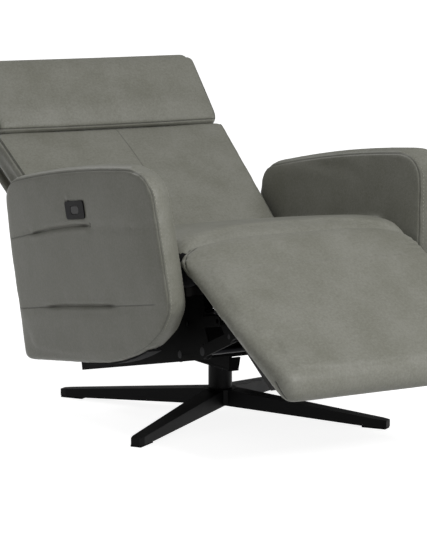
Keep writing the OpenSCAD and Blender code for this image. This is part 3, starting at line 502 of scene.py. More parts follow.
def write_co(mesh: Mesh, co: np.ndarray) -> None:
    """Puts a mesh's points back."""
    mesh.vertices.foreach_set("co", co.astype(np.float32).ravel())
    mesh.update()


def resample(points: Sequence[Vector], step: float) -> list[Vector]:
    """Walks along a line in even steps.

    Args:
        points: The line's corners, in metres.
        step: The step, in metres.

    Returns:
        Points from the first corner to the last.
    """
    out = [points[0].copy()]
    for a, b in zip(points, points[1:]):
        span = (b - a).length
        count = max(1, round(span / step))
        out += [a.lerp(b, k / count) for k in range(1, count + 1)]
    return out


def smooth_line(points: Sequence[Vector], rounds: int = 2) -> list[Vector]:
    """Rounds a line's corners by cutting them (Chaikin), its ends kept.

    Args:
        points: The line's corners.
        rounds: How many times the corners are cut.

    Returns:
        The rounder line.
    """
    line = list(points)
    for _ in range(rounds):
        cut = [line[0]]
        for a, b in zip(line, line[1:]):
            cut += [a.lerp(b, 0.25), a.lerp(b, 0.75)]
        line = cut + [line[-1]]
    return line


def near_line(
    co: np.ndarray, line: Sequence[Vector], step: float = 0.002, reach: float = 0.05,
    coarse: float = 0.02, batch: int = 8000,
) -> tuple[np.ndarray, np.ndarray]:
    """Measures how far points lie from a line.

    Args:
        co: The points, one a row.
        line: The line's corners.
        step: The spacing at which the line is tested.
        reach: Distance over which the answer matters. Points well beyond it keep a huge distance.
        coarse: Spacing of the first, rough pass.
        batch: How many points are measured at a time.

    Returns:
        The distances, and how far along the line the nearest place is, from 0 to 1.
    """
    dots = np.array([tuple(p) for p in resample(line, step)])
    best = np.full(len(co), 1e9)
    share = np.zeros(len(co))
    sparse = dots[::max(1, round(coarse / step))]
    near = np.where(np.all((co > dots.min(0) - reach) & (co < dots.max(0) + reach), axis=1))[0]
    for part in np.array_split(near, len(near) // batch + 1):
        rough = ((co[part][:, None, :] - sparse[None]) ** 2).sum(2).min(1)
        ids = part[rough < (reach + coarse) ** 2]
        if not len(ids):
            continue
        gaps = ((co[ids][:, None, :] - dots[None]) ** 2).sum(2)
        pick = gaps.argmin(1)
        best[ids] = np.sqrt(gaps[np.arange(len(ids)), pick])
        share[ids] = pick / max(1, len(dots) - 1)
    return best, share


@dataclass(frozen=True)
class Seam:
    """A sewn line: a groove in the leather, and painted shade along it that darkens the leather's colour.

    Args:
        line: The seam's corners in the part's frame, in metres.
        depth: How deep the groove is, in millimetres.
        width: Half the groove's width.
        shade: How dark the painted shade on the seam's line is, from 0 to 1.
        fade: Share of the length over which each end runs out.
        bulge: How far the leather swells beside the seam.
        line_width: Half the width of the painted shade's line.
        bulge_at: Where the swelling lies, in groove widths from the line.
        bulge_run: How wide the swelling is, in groove widths.
    """

    line: tuple[Vector, ...]
    depth: float = 2.0
    width: float = 3.0
    shade: float = 0.8
    fade: float = 0.0
    bulge: float = 0.0
    line_width: float = 1.5
    bulge_at: float = 3.2
    bulge_run: float = 2.2

    def laid_on(self, skin: BVHTree, reach: float = 0.025) -> "Seam":
        """Returns the same seam with its line laid on a skin.

        Args:
            skin: The leather's surface.
            reach: How far off the skin the line may start, in metres.

        Returns:
            The laid seam, or this one where the skin is out of reach.
        """
        dots = []
        for dot in resample(self.line, 0.004):
            place, _, _, gap = skin.find_nearest(dot)
            if place is not None and gap < reach:
                dots.append(place)
        return replace(self, line=tuple(dots)) if len(dots) > 1 else self


@dataclass
class Upholstery:
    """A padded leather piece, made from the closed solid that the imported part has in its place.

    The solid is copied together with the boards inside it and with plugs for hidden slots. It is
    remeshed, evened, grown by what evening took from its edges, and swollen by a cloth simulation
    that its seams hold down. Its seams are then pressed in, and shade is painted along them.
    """

    name: str
    nodes: tuple[str, ...]
    body: str
    inner: tuple[str, ...] = ()
    plugs: tuple[tuple[Matrix, Vector], ...] = ()
    voxel: float = 6.0
    grow: float = 3.0
    even: int = 3
    cap: float = 5.0
    pressure: float = 4.0
    fill: float = 0.7
    seams: list[Seam] = field(default_factory=list)
    hold: list[Seam] = field(default_factory=list)
    hold_width: float = 7.0
    hold_reach: float = 1.6
    calm: int = 6
    slip: float = 0.25
    inward: float = 0.25
    stretch: float = 20.0
    shear: float = 8.0
    bend: float = 1.2
    split_at: tuple[float, ...] = (11.0, 6.0)
    obj: Optional[Object] = None
    rest: Optional[np.ndarray] = None
    outward: Optional[np.ndarray] = None

    def start(self) -> None:
        """Copies and remeshes the solids, then evens the skin."""
        bm = bmesh.new()
        for node in (*self.nodes, *self.inner):
            bm.from_mesh(bpy.data.objects[node].data)
        bmesh.ops.remove_doubles(bm, verts=bm.verts, dist=1e-6)
        for place, size in self.plugs:
            bmesh.ops.create_cube(bm, size=1.0, matrix=place @ Matrix.Diagonal((*size, 1.0)))
        self.obj = piece_from(bm, self.name, Look.LEATHER)
        modifier = self.obj.modifiers.new("voxels", "REMESH")
        modifier.mode = "VOXEL"
        modifier.voxel_size = self.voxel * MM
        modifier.use_smooth_shade = True
        self.apply()
        mesh = self.obj.data
        self.smooth(self.even)
        write_co(mesh, read_co(mesh) + read_normals(mesh) * self.grow * MM)
        self.rest, self.outward = read_co(mesh), read_normals(mesh)

    def apply(self) -> None:
        """Replaces the mesh by what its modifiers make of it."""
        bpy.context.view_layer.update()
        graph = bpy.context.evaluated_depsgraph_get()
        made = bpy.data.meshes.new_from_object(self.obj.evaluated_get(graph))
        self.obj.modifiers.clear()
        old = self.obj.data
        self.obj.data = made
        made.name = self.name
        if not made.materials:
            made.materials.append(Look.LEATHER.value.material())
        bpy.data.meshes.remove(old)

    def smooth(self, rounds: int, factor: float = 0.5) -> None:
        """Evens the skin.

        Args:
            rounds: How often each point moves towards its neighbours.
            factor: How far it moves.
        """
        bm = bmesh.new()
        bm.from_mesh(self.obj.data)
        for _ in range(rounds):
            bmesh.ops.smooth_vert(bm, verts=bm.verts, factor=factor,
                                  use_axis_x=True, use_axis_y=True, use_axis_z=True)
        bm.to_mesh(self.obj.data)
        bm.free()

    def pin(self) -> None:
        """Adds the cloth, held down along the seams."""
        group = self.obj.vertex_groups.new(name="held")
        weights = np.zeros(len(self.rest))
        for seam in [*self.seams, *self.hold]:
            gap, _ = near_line(self.rest, seam.line, 0.004)
            weights = np.maximum(weights, np.clip(self.hold_reach - gap / (self.hold_width * MM), 0, 1))
        for i in np.where(weights > 0)[0]:
            group.add([int(i)], float(weights[i]), "REPLACE")
        cloth = self.obj.modifiers.new("cloth", "CLOTH")
        settings = cloth.settings
        settings.quality = 4
        settings.mass = 0.3
        settings.use_pressure = True
        settings.uniform_pressure_force = self.pressure
        settings.effector_weights.gravity = 0.0
        settings.tension_stiffness = settings.compression_stiffness = self.stretch
        settings.shear_stiffness = self.shear
        settings.bending_stiffness = self.bend
        settings.vertex_group_mass = "held"
        cloth.collision_settings.use_collision = False
        cloth.collision_settings.use_self_collision = False

    def evened(self, values: np.ndarray, rounds: int) -> np.ndarray:
        """Evens values over the skin.

        Args:
            values: One row a point.
            rounds: How often each point takes on its neighbours' mean.

        Returns:
            The evened values.
        """
        mesh = self.obj.data
        ends = np.zeros(len(mesh.edges) * 2, np.int32)
        mesh.edges.foreach_get("vertices", ends)
        a, b = ends.reshape(-1, 2).T
        count = np.maximum(np.bincount(ends, minlength=len(values)), 1)[:, None]
        for _ in range(rounds):
            total = np.zeros_like(values)
            np.add.at(total, a, values[b])
            np.add.at(total, b, values[a])
            values = 0.5 * values + 0.5 * total / count
        return values

    def cap_moves(self) -> None:
        """Applies the cloth, evens its folds, and keeps the skin close to where it started."""
        self.apply()
        move = self.evened(read_co(self.obj.data) - self.rest, self.calm)
        lift = (move * self.outward).sum(1)
        slide = move - self.outward * lift[:, None]
        cap = self.cap * MM
        lift = np.where(lift > 0, cap * np.tanh(lift / cap), self.inward * cap * np.tanh(lift / cap))
        write_co(self.obj.data, self.rest + self.outward * lift[:, None] + slide * self.slip)
        self.obj.vertex_groups.clear()

    def refine(self) -> None:
        """Adds one subdivision."""
        modifier = self.obj.modifiers.new("finer", "SUBSURF")
        modifier.levels = modifier.render_levels = 1
        self.apply()
        for polygon in self.obj.data.polygons:
            polygon.use_smooth = True

    def split_near(self, reach: float) -> None:
        """Halves the faces beside the seams, so that a narrow groove has points to stand on.

        Args:
            reach: Distance from a seam within which faces are halved, in millimetres.
        """
        mesh = self.obj.data
        co = read_co(mesh)
        near = np.zeros(len(co), bool)
        for seam in self.seams:
            gap, _ = near_line(co, seam.line, 0.003)
            near |= gap < reach * MM
        bm = bmesh.new()
        bm.from_mesh(mesh)
        bm.verts.ensure_lookup_table()
        edges = [e for e in bm.edges if near[e.verts[0].index] and near[e.verts[1].index]]
        bmesh.ops.subdivide_edges(bm, edges=edges, cuts=1, use_grid_fill=True)
        for face in bm.faces:
            face.smooth = True
        bm.to_mesh(mesh)
        bm.free()

    def sew(self) -> None:
        """Presses the seams in, and writes the shade painted along them."""
        skin = self.tree()
        self.seams = [seam.laid_on(skin) for seam in self.seams]
        for reach in self.split_at:
            self.split_near(reach)
        mesh = self.obj.data
        co, normals = read_co(mesh), read_normals(mesh)
        shade = np.zeros(len(co))
        for seam in self.seams:
            gap, share = near_line(co, seam.line)
            run = np.ones(len(co))
            if seam.fade > 0:
                run = np.clip(np.minimum(share, 1 - share) / seam.fade, 0, 1)
                run = run * run * (3 - 2 * run)
            gap = gap / MM
            groove = np.exp(-(gap / seam.width) ** 2)
            swell = np.exp(-((gap - seam.bulge_at * seam.width) / (seam.bulge_run * seam.width)) ** 2)
            push = (seam.bulge * swell - seam.depth * groove) * run * MM
            co += normals * push[:, None]
            # Painted shade: each seam's line darkens the leather's colour.
            shade = np.maximum(shade, seam.shade * np.exp(-(gap / seam.line_width) ** 2) * np.sqrt(run))
        write_co(mesh, co)
        self.write_shade(shade)

    def write_shade(self, shade: np.ndarray) -> None:
        """Writes the painted shade that darkens the leather's colour in its material.

        Args:
            shade: One value a point, from 0 to 1.
        """
        mesh = self.obj.data
        held = mesh.attributes.get("seam_shade") or mesh.attributes.new("seam_shade", "FLOAT", "POINT")
        held.data.foreach_set("value", shade.astype(np.float32))

    def deform(self) -> None:
        """A place for a piece's own folds, after its seams are pressed."""

    def attach(self) -> None:
        """Hides what the piece replaces, and parents it to the body that it rides on."""
        stand_in(self.obj, self.nodes, self.body)

    def tree(self) -> BVHTree:
        """Returns the finished skin for finding places on it."""
        bm = bmesh.new()
        bm.from_mesh(self.obj.data)
        found = BVHTree.FromBMesh(bm)
        bm.free()
        return found


@dataclass
class StitchRow:
    """A row of saddle stitches on a leather skin."""

    name: str
    body: str
    length: float = 4.6
    pitch: float = 6.4
    thick: float = 1.5
    flat: float = 0.42
    reach_m: float = 0.02

    def build(self, skin: BVHTree, lines: Iterable[Sequence[Vector]]) -> Object:
        """Lays the stitches along lines on the skin.

        Args:
            skin: The leather's surface.
            lines: The rows' lines, near the surface.

        Returns:
            One object with all stitches.
        """
        bm = bmesh.new()
        for line in lines:
            dots = resample(line, self.pitch * MM)
            for a, b in zip(dots, dots[1:]):
                middle = (a + b) / 2
                place, normal, _, gap = skin.find_nearest(middle)
                if place is None or gap > self.reach_m:
                    continue
                along = (b - a).normalized()
                along = (along - normal * along.dot(normal)).normalized()
                across = normal.cross(along)
                turn = Matrix((along, across, normal)).transposed().to_4x4()
                size = Matrix.Diagonal((self.length * MM / 2, self.thick * MM / 2,
                                        self.thick * MM * self.flat, 1.0))
                bmesh.ops.create_uvsphere(bm, u_segments=8, v_segments=5, radius=1.0,
                                          matrix=Matrix.Translation(place) @ turn @ size)
        obj = piece_from(bm, self.name, Look.THREAD)
        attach(obj, self.body)
        return obj


@dataclass
class Cording:
    """A thin round cord along a line on a skin: a welt or a piping."""

    name: str
    body: str
    radius: float = 1.0
    sink: float = 0.2
    look: Look = Look.LEATHER
    step_m: float = 0.005
    reach_m: float = 0.02

    def build(self, skin: BVHTree, lines: Iterable[Sequence[Vector]]) -> Object:
        """Lays the cord along lines on the skin.

        Args:
            skin: The leather's surface.
            lines: The cord's lines, near the surface.

        Returns:
            One object with all cords.
        """
        curve = bpy.data.curves.new(self.name, "CURVE")
        curve.dimensions = "3D"
        curve.bevel_depth = self.radius * MM
        curve.bevel_resolution = 2
        curve.use_fill_caps = True
        for line in lines:
            dots = []
            for p in resample(line, self.step_m):
                place, normal, _, gap = skin.find_nearest(p)
                if place is not None and gap < self.reach_m:
                    dots.append(place - normal * self.sink * MM)
            if len(dots) < 2:
                continue
            spline = curve.splines.new("POLY")
            spline.points.add(len(dots) - 1)
            for point, dot in zip(spline.points, dots):
                point.co = (*dot, 1.0)
        made = bpy.data.objects.new(self.name + "_curve", curve)
        bpy.context.scene.collection.objects.link(made)
        bpy.context.view_layer.update()
        graph = bpy.context.evaluated_depsgraph_get()
        bm = bmesh.new()
        bm.from_mesh(bpy.data.meshes.new_from_object(made.evaluated_get(graph)))
        bpy.data.objects.remove(made)
        obj = piece_from(bm, self.name, self.look)
        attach(obj, self.body)
        return obj


# ---------------------------------------------------------------- arms


@dataclass
class Arm:
    """One upholstered arm: a flared slab with a front band between two seams."""

    side: int
    inside: float = 294.0
    thick: float = 58.0
    flare: float = 5.6
    ref_z: float = 400.0
    low: float = 167.0
    top: float = 572.0
    front: float = 392.0
    nose_y: float = 385.0
    nose_z: float = 150.0
    brow_y: float = 72.0
    brow_z: float = 60.0
    skew: float = 36.0
    bow: float = 12.0
    arch: float = 13.0
    arch_y: float = -60.0
    arch_l: float = 320.0
    swell: float = 8.0
    plate_y: float = -68.0
    plate_z: float = 493.0
    plate_l: float = 82.0
    plate_h: float = 38.0

    @staticmethod
    def inset(gap: float, along: float, deep: float) -> float:
        """Returns how far a rounded edge is drawn in at a gap from its end."""
        return 0.0 if gap >= deep else along * (1 - math.sqrt(max(0.0, 1 - ((deep - gap) / deep) ** 2)))

    def nose(self, z: float) -> float:
        """Returns the arm's front at a height."""
        return (-self.front + self.inset(z - self.low, self.nose_y, self.nose_z)
                + self.inset(max(self.top - z, 0), self.brow_y, self.brow_z))

    def point(self, w: float, y: float, z: float) -> Vector:
        """Returns a point of the arm in the part's frame.

        Args:
            w: Out from the inner seam.
            y: Front to back.
            z: Height.

        Returns:
            The point in metres.
        """
        x = -self.inside - (z - self.ref_z) * math.tan(math.radians(self.flare)) - w
        arched = z - (self.arch * ((y - self.arch_y) / self.arch_l) ** 2
                      * (z - self.low) / (self.top - self.low))
        return LEVEL.world(-self.side * x, y, arched)

    def edge(self, share: float, low: float, back: float) -> tuple[Vector, ...]:
        """Returns a line round the top and the front, at a share of the band's width.

        Args:
            share: 0 on the outer seam, 1 on the inner seam.
            low: Height at which the line ends at the front.
            back: Where it starts on the top, front to back.

        Returns:
            The line, its corners rounded.
        """
        w = self.thick * (1 - share)
        shift = self.skew * share - self.bow * math.sin(math.pi * share)
        line = []
        start = self.nose(self.top) + shift
        steps = 14
        for k in range(steps):
            y = back + (start - back) * k / steps
            line.append(self.point(w, y, self.top))
        heights = [self.top - self.brow_z * s for s in (0, 0.03, 0.12, 0.28, 0.5, 0.8)]
        z = heights[-1]
        while z > low + 18:
            z -= 16
            heights.append(z)
        heights.append(low)
        for z in heights:
            line.append(self.point(w, self.nose(z) + shift, z))
        return tuple(smooth_line(line, 1))

    def panel(self, y: float, z: float, out: float = 0.0) -> Vector:
        """Returns a point on the outer panel."""
        return self.point(self.thick + self.swell + out, y, z)

    def pleat(self, *spots: tuple[float, float]) -> tuple[Vector, ...]:
        """Returns a line on the outer panel through spots given front to back and in height."""
        return tuple(self.panel(y, z) for y, z in spots)

    def name(self) -> str:
        """Returns the arm's side in words."""
        return "left" if self.side < 0 else "right"

    def upholstery(self) -> Upholstery:
        """Returns the arm's padded skin with its seams."""
        # The band's seams, the pleats' creases, their small tick and the pucker darken the leather's colour with
        # painted shade.
        outer = Seam(self.edge(0.0, 192.0, 262.0), 0.9, 2.2, 0.65, line_width=1.1)
        inner = Seam(self.edge(1.0, 192.0, 240.0), 0.9, 2.2, 0.65, line_width=1.1)
        lower = self.pleat((290, 286), (150, 288), (-40, 290), (-185, 292), (-345, 298))
        lower_deep = self.pleat((165, 288), (40, 290), (-90, 291), (-196, 292))
        upper = self.pleat((272, 446), (200, 449), (60, 456), (-40, 459), (-122, 459))
        upper_deep = self.pleat((172, 450), (60, 456), (-40, 459), (-126, 459))
        seams = [
            outer, inner,
            Seam(lower_deep, 1.6, 11.0, 0.0, 0.3), Seam(lower_deep, 3.8, 2.6, 1.0, 0.16, 1.8, 1.7),
            Seam(lower, 1.0, 1.7, 0.7, 0.02, 0.0, 1.2),
            Seam(upper_deep, 2.2, 12.0, 0.0, 0.3), Seam(upper_deep, 4.6, 2.8, 1.0, 0.12, 2.0, 2.0),
            Seam(upper, 1.0, 1.7, 0.7, 0.02, 0.0, 1.2),
            Seam(self.pleat((-121, 457), (-124, 463)), 1.6, 2.0, 1.0, 0.0, 0.0, 1.6)]
        hold = []
        if self.side < 0:
            half_l, half_h = self.plate_l / 2 + 4, self.plate_h / 2 + 4
            ring = [(-half_l, -half_h), (half_l, -half_h), (half_l, half_h), (-half_l, half_h), (-half_l, -half_h)]
            rim = tuple(self.panel(self.plate_y + a, self.plate_z + b, -4.0) for a, b in ring)
            hold.append(Seam(rim))
            seams.append(Seam(self.pleat((-22, 514), (-36, 509), (-52, 508)),
                              2.0, 4.0, 0.3, 0.4, 1.0))
        return Upholstery(
            f"{self.name()}_arm_leather", (f"{self.name()}_arm_pad",), "seat_body",
            inner=(f"{self.name()}_arm_board",), grow=2.0, even=4, cap=3.0, pressure=3.2,
            seams=seams, hold=hold, fill=0.85)

    def stitch_lines(self) -> list[list[Vector]]:
        """Returns the two rows of stitches on the front band, beside its seams."""
        share = 6.0 / self.thick
        return [list(self.edge(share, 240.0, self.nose(self.top) + 6)),
                list(self.edge(1 - share, 240.0, self.nose(self.top) + self.skew + 6))]


# ---------------------------------------------------------------- seat, leg rest, back, headrest


def corner_drop(
    x: np.ndarray, run: np.ndarray, start: float = 100.0, deep: float = 24.0, half: float = 283.0,
    reach: float = 90.0,
) -> np.ndarray:
    """Returns how far the leather falls towards the ends of the crease.

    Args:
        x: Across the chair.
        run: Distance from the crease, front to back.
        start: Half the width that stays level.
        deep: How far the outer edge falls, in millimetres.
        half: Half the width at which it has fallen that far.
        reach: Distance from the crease over which the fall dies away.

    Returns:
        The fall of each point, in millimetres.
    """
    return deep * np.clip((np.abs(x) - start) / (half - start), 0, 1.1) ** 2 * np.exp(-(run / reach) ** 2)


class SeatCushion(Upholstery):
    """The seat cushion, crowned, with its rolled front and a lined wall behind the leg rest.

    The fall starts over `fall_z` and is whole `fall_run` higher. The lining covers what lies in front
    of `wall_y` under `wall_z`, and all that lies under `under_z`.
    """

    fall_z: float = 340.0
    fall_run: float = 60.0
    wall_y: float = -316.0
    wall_z: float = 392.0
    under_z: float = 330.0

    def deform(self) -> None:
        """Lets the front corners fall away round the crease's ends."""
        co = read_co(self.obj.data)
        at = LEVEL.local(co)
        fall = (corner_drop(at[:, 0], at[:, 1] - CREASE_Y)
                * np.clip((at[:, 2] - self.fall_z) / self.fall_run, 0, 1))
        write_co(self.obj.data, co - LEVEL.step(0, 0, 1)[None] * fall[:, None])

    def attach(self) -> None:
        mesh = self.obj.data
        mesh.materials.append(Look.LINING.value.material())
        mid = np.zeros(len(mesh.polygons) * 3, np.float32)
        mesh.polygons.foreach_get("center", mid)
        at = LEVEL.local(mid.reshape(-1, 3).astype(float))
        lined = (at[:, 1] < self.wall_y) & (at[:, 2] < self.wall_z)
        lined |= at[:, 2] < self.under_z
        mesh.polygons.foreach_set("material_index", lined.astype(np.int32))
        super().attach()


class LegSkin(Upholstery):
    """The leg rest's skin, with the gathers that the crease pulls at both ends.

    Each fold has its place along the edge, its slant and its depth. `side_full` is how far the sides
    swell beside the crease, where the folds end at `edge_x`.
    """

    thick: float = 40.0
    side_full: float = 6.0
    full_x: float = 225.0
    full_run: float = 45.0
    full_s: float = 34.0
    edge_x: float = 268.0
    fold_width: float = 4.2
    folds: tuple[Point, ...] = ((-30, 0.6, 0.9), (-47, 0.5, 1.2), (-68, 0.42, 0.9), (-95, 0.35, 0.5))

    def deform(self) -> None:
        """Lets the top corners fall, and folds the leather beside the crease's ends."""
        mesh = self.obj.data
        co, normals = read_co(mesh), read_normals(mesh)
        at = LEG.local(co)
        fall = corner_drop(at[:, 0], at[:, 1]) * np.clip((at[:, 2] + self.thick) / self.thick, 0, 1)
        co -= LEVEL.step(0, 0, 1)[None] * fall[:, None]
        full = (self.side_full * np.clip((np.abs(at[:, 0]) - self.full_x) / self.full_run, 0, 1)
                * np.exp(-((at[:, 1] + self.full_s) / self.full_s) ** 2))
        co[:, 0] += np.sign(at[:, 0]) * full * MM
        push = np.zeros(len(co))
        for side in (-1, 1):
            for k, (s0, tilt, size) in enumerate(self.folds):
                edge = side * at[:, 0] - self.edge_x
                line = at[:, 1] - s0 - tilt * edge
                reach = np.exp(-((edge + 6) / (30 + 3 * k)) ** 2)
                push -= size * reach * np.exp(-(line / self.fold_width) ** 2)
                push += 0.7 * size * reach * np.exp(-((line - 9) / 5.5) ** 2)
        write_co(mesh, co + normals * (push * MM)[:, None])


class BackSkin(Upholstery):
    """The back's skin, whose top edge gives by `give` under the headrest's roll, from `give_s` up."""

    give: float = 2.5
    give_x: float = 270.0
    give_s: float = 285.0
    give_run: float = 55.0

    def deform(self) -> None:
        """Lowers the middle of the top edge."""
        mesh = self.obj.data
        co = read_co(mesh)
        at = BACK.local(co)
        down = (self.give * np.clip(1 - (at[:, 0] / self.give_x) ** 2, 0, 1)
                * np.clip((at[:, 1] - self.give_s) / self.give_run, 0, 1) ** 2)
        write_co(mesh, co - BACK.step(0, 1, 0)[None] * down[:, None])


class HeadSkin(Upholstery):
    """The headrest's skin: fullest in its lower third, round at its top corners, hanging over the back."""

    corner: float = 32.0
    half: float = 293.0
    narrows: float = 3.0
    tall: float = 185.0
    top: float = 188.0
    full: float = 6.0
    full_s: float = 26.0
    full_run: float = 38.0
    sag: float = 3.0
    sag_x: float = 270.0

    def deform(self) -> None:
        """Fills the lower face, rounds the top corners and lets the roll hang."""
        mesh = self.obj.data
        co = read_co(mesh)
        at = HEAD.local(co)
        half = self.half - self.narrows * np.clip(at[:, 1] / self.tall, 0, 1)
        front = np.clip((at[:, 2] - 2) / 14, 0, 1)
        wide = np.clip(1 - (at[:, 0] / 288) ** 4, 0, 1)
        full = self.full * wide * front * np.exp(-((at[:, 1] - self.full_s) / self.full_run) ** 2)
        middle = np.clip(1 - (at[:, 0] / self.sag_x) ** 2, 0, 1)
        sag = (self.sag + self.sag * middle) * np.clip((16 - at[:, 1]) / 24, 0, 1) * front
        u = np.clip(np.abs(at[:, 0]) - (half - self.corner), 0, None)
        v = np.clip(at[:, 1] - (self.top - self.corner), 0, None)
        draw = 1 - np.maximum(u, v) / np.maximum(np.hypot(u, v), 1e-6)
        draw[(u <= 0) | (v <= 0)] = 0
        across = np.array((1.0, 0.0, 0.0)) * np.sign(at[:, 0])[:, None]
        out, along = HEAD.step(0, 0, 1), HEAD.step(0, 1, 0)
        co += out[None] * full[:, None] - along[None] * (sag + draw * v)[:, None]
        write_co(mesh, co - across * (draw * u * MM)[:, None])


@dataclass
class Soft:
    """All padded pieces of the chair, and their trimmings."""

    arms: tuple[Arm, Arm] = (Arm(-1), Arm(1))
    nose_half: float = 247.0
    leg_l: float = 434.0
    bridge_l: float = 107.0
    back_half: float = 303.0
    back_low_half: float = 278.0
    back_l: float = 353.0
    head_half: float = 290.0
    head_l: float = 185.0
    hinge_in: float = 130.0
    hinge_t: float = 12.0
    cloth_frames: int = 20

    def leg_seams(self) -> list[Seam]:
        """Returns the leg rest's seams: the crease at the seat and the short corner seams at its nose."""
        # The crease and the nose's seams darken the leather's colour with painted shade along their lines.
        seams = [Seam(self.crease(), 2.4, 3.0, 0.75)]
        low = [LEG.world(x, -self.leg_l + 9, -42) for x in np.linspace(-self.nose_half + 14, self.nose_half - 14, 9)]
        seams.append(Seam(tuple(low), 0.9, 2.0, 0.5, 0.05))
        for side in (-1, 1):
            x = side * self.nose_half
            corner = [LEG.world(x - side * 1, -self.leg_l + 44, -24), LEG.world(x - side * 3, -self.leg_l + 24, -32),
                      LEG.world(x - side * 14, -self.leg_l + 9, -42)]
            seams.append(Seam(tuple(corner), 2.0, 2.2, 1.0, 0.12, 0.0, 1.8))
        return seams

    def crease(self) -> tuple[Vector, ...]:
        """Returns the seam between seat and leg rest, which turns down round both corners."""
        half = [(0.0, -1.0, 1.0), (150.0, -1.0, 1.0), (226.0, -3.0, 0.5), (252.0, -9.0, -3.0),
                (268.0, -22.0, -9.0), (276.0, -42.0, -17.0), (278.0, -66.0, -27.0)]
        left = [LEG.world(-x, s, n) for x, s, n in reversed(half[1:])]
        return tuple(smooth_line(left + [LEG.world(x, s, n) for x, s, n in half], 1))

    def back_edge(self, side: int, n: float, inset: float = 0.0) -> tuple[Vector, ...]:
        """Returns the boxing seam along one side of the back's face.

        Args:
            side: -1 on the left, 1 on the right.
            n: Height of the seam over the face.
            inset: How far it lies in from the edge.

        Returns:
            The line from the seat up to the headrest.
        """
        low_x, top_x = self.back_low_half - 4, self.back_half - 3
        return tuple(BACK.world(side * (low_x + (top_x - low_x) * k / 8 - inset), 4 + (self.back_l - 12) * k / 8, n)
                     for k in range(9))

    def head_welt(self, s: float, n: float) -> tuple[Vector, ...]:
        """Returns a line along the headrest's lower roll."""
        return tuple(HEAD.world(x, s, n) for x in np.linspace(-self.head_half + 3, self.head_half - 3, 15))

    def head_side(self, side: int) -> tuple[Vector, ...]:
        """Returns the piped seam on one end of the headrest."""
        x = side * (self.head_half - 5)
        spots = [(-12, 12), (2, 18), (50, 19), (110, 18), (150, 14), (170, 3), (178, -14), (180, -44)]
        return tuple(smooth_line([HEAD.world(x - side * 3 * max(s, 0) / self.head_l, s, n) for s, n in spots], 2))

    def hinge_plugs(self) -> tuple[tuple[Matrix, Vector], ...]:
        """Returns blocks that close the hinge slots behind the headrest's face."""
        plugs = []
        corner = HEAD.world(0, 0, 0)
        along, out = HEAD.world(0, 100, 0) - corner, HEAD.world(0, 0, 100) - corner
        turn = Matrix((Vector((1, 0, 0)), along.normalized(), out.normalized())).transposed().to_4x4()
        for side in (-1, 1):
            x = side * (self.hinge_in + self.hinge_t / 2)
            for s, n, size in ((6, 12.5, (26, 40, 14)), (-9, 4, (26, 16, 18)), (-15, 1, (26, 9, 15))):
                plugs.append((Matrix.Translation(HEAD.world(x, s, n)) @ turn, Vector(size) * MM))
        return tuple(plugs)

    def pieces(self) -> list[Upholstery]:
        """Returns every padded piece, before it is built."""
        run = ((6.6, 351, 0), (8, 330, 3), (11, 290, 4), (13.5, 250, 4), (15, 200, 5), (16, 110, 5), (16, 40, 4))
        # The back's and the headrest's seams darken the leather's colour with painted shade along their lines.
        centre = Seam(tuple(smooth_line([BACK.world(*spot) for spot in run], 1)), 0.8, 2.0, 0.5, 0.0, 0.0, 1.2)
        back = BackSkin("back_leather", ("back_cushion",), "back", grow=3.0, even=5, cap=4.0, fill=0.7, seams=[
            Seam(self.back_edge(-1, 0), 1.6, 2.4, 0.7), Seam(self.back_edge(1, 0), 1.6, 2.4, 0.7), centre])
        head = HeadSkin(
            "headrest_leather", ("head_cushion",), "head", inner=("head_board",), plugs=self.hinge_plugs(),
            grow=3.5, even=6, cap=4.0, fill=0.75, seams=[
                Seam(self.head_welt(-13, 16), 1.3, 2.2, 0.75), Seam(self.head_side(-1), 1.2, 2.2, 0.7),
                Seam(self.head_side(1), 1.2, 2.2, 0.7)])
        seat = SeatCushion("seat_leather", ("seat_cushion",), "seat_body", grow=1.5, even=6, cap=4.0, fill=0.75)
        leg = LegSkin("leg_rest_leather", ("leg_cushion", "leg_bridge"), "leg_rest", grow=4.0, even=10, cap=4.0,
                      fill=0.7, seams=self.leg_seams())
        return [arm.upholstery() for arm in self.arms] + [seat, leg, back, head]

    def build(self) -> None:
        """Builds, swells and sews the padded pieces, then adds their trimmings."""
        made = self.pieces()
        for piece in made:
            piece.start()
        for piece in made:
            piece.pin()
        scene = bpy.context.scene
        for frame_number in range(1, self.cloth_frames + 1):
            scene.frame_set(frame_number)
        for piece in made:
            piece.cap_moves()
        scene.frame_set(1)
        for piece in made:
            piece.refine()
            piece.sew()
            piece.deform()
        by_name = {piece.name: piece for piece in made}
        self.trim(by_name)
        self.split_leg(by_name["leg_rest_leather"])
        for piece in made:
            if piece.name != "leg_rest_leather":
                piece.attach()

    def trim(self, made: dict[str, Upholstery]) -> None:
        """Adds stitches, welts and piping to the finished skins.

        Args:
            made: The padded pieces by name.
        """
        for arm in self.arms:
            skin = made[f"{arm.name()}_arm_leather"].tree()
            StitchRow(f"{arm.name()}_arm_stitches", "seat_body").build(skin, arm.stitch_lines())
        skin = made["back_leather"].tree()
        Cording("back_welts", "back", 1.6, 0.0).build(
            skin, [self.back_edge(-1, 1, 5.0), self.back_edge(1, 1, 5.0)])
        skin = made["headrest_leather"].tree()
        # The piping takes the leather's darker copy, as painted shade.
        Cording("headrest_piping", "head", 1.5, 0.3, Look.SHADE_PAINTED_WELT).build(
            skin, [self.head_side(-1), self.head_side(1)])

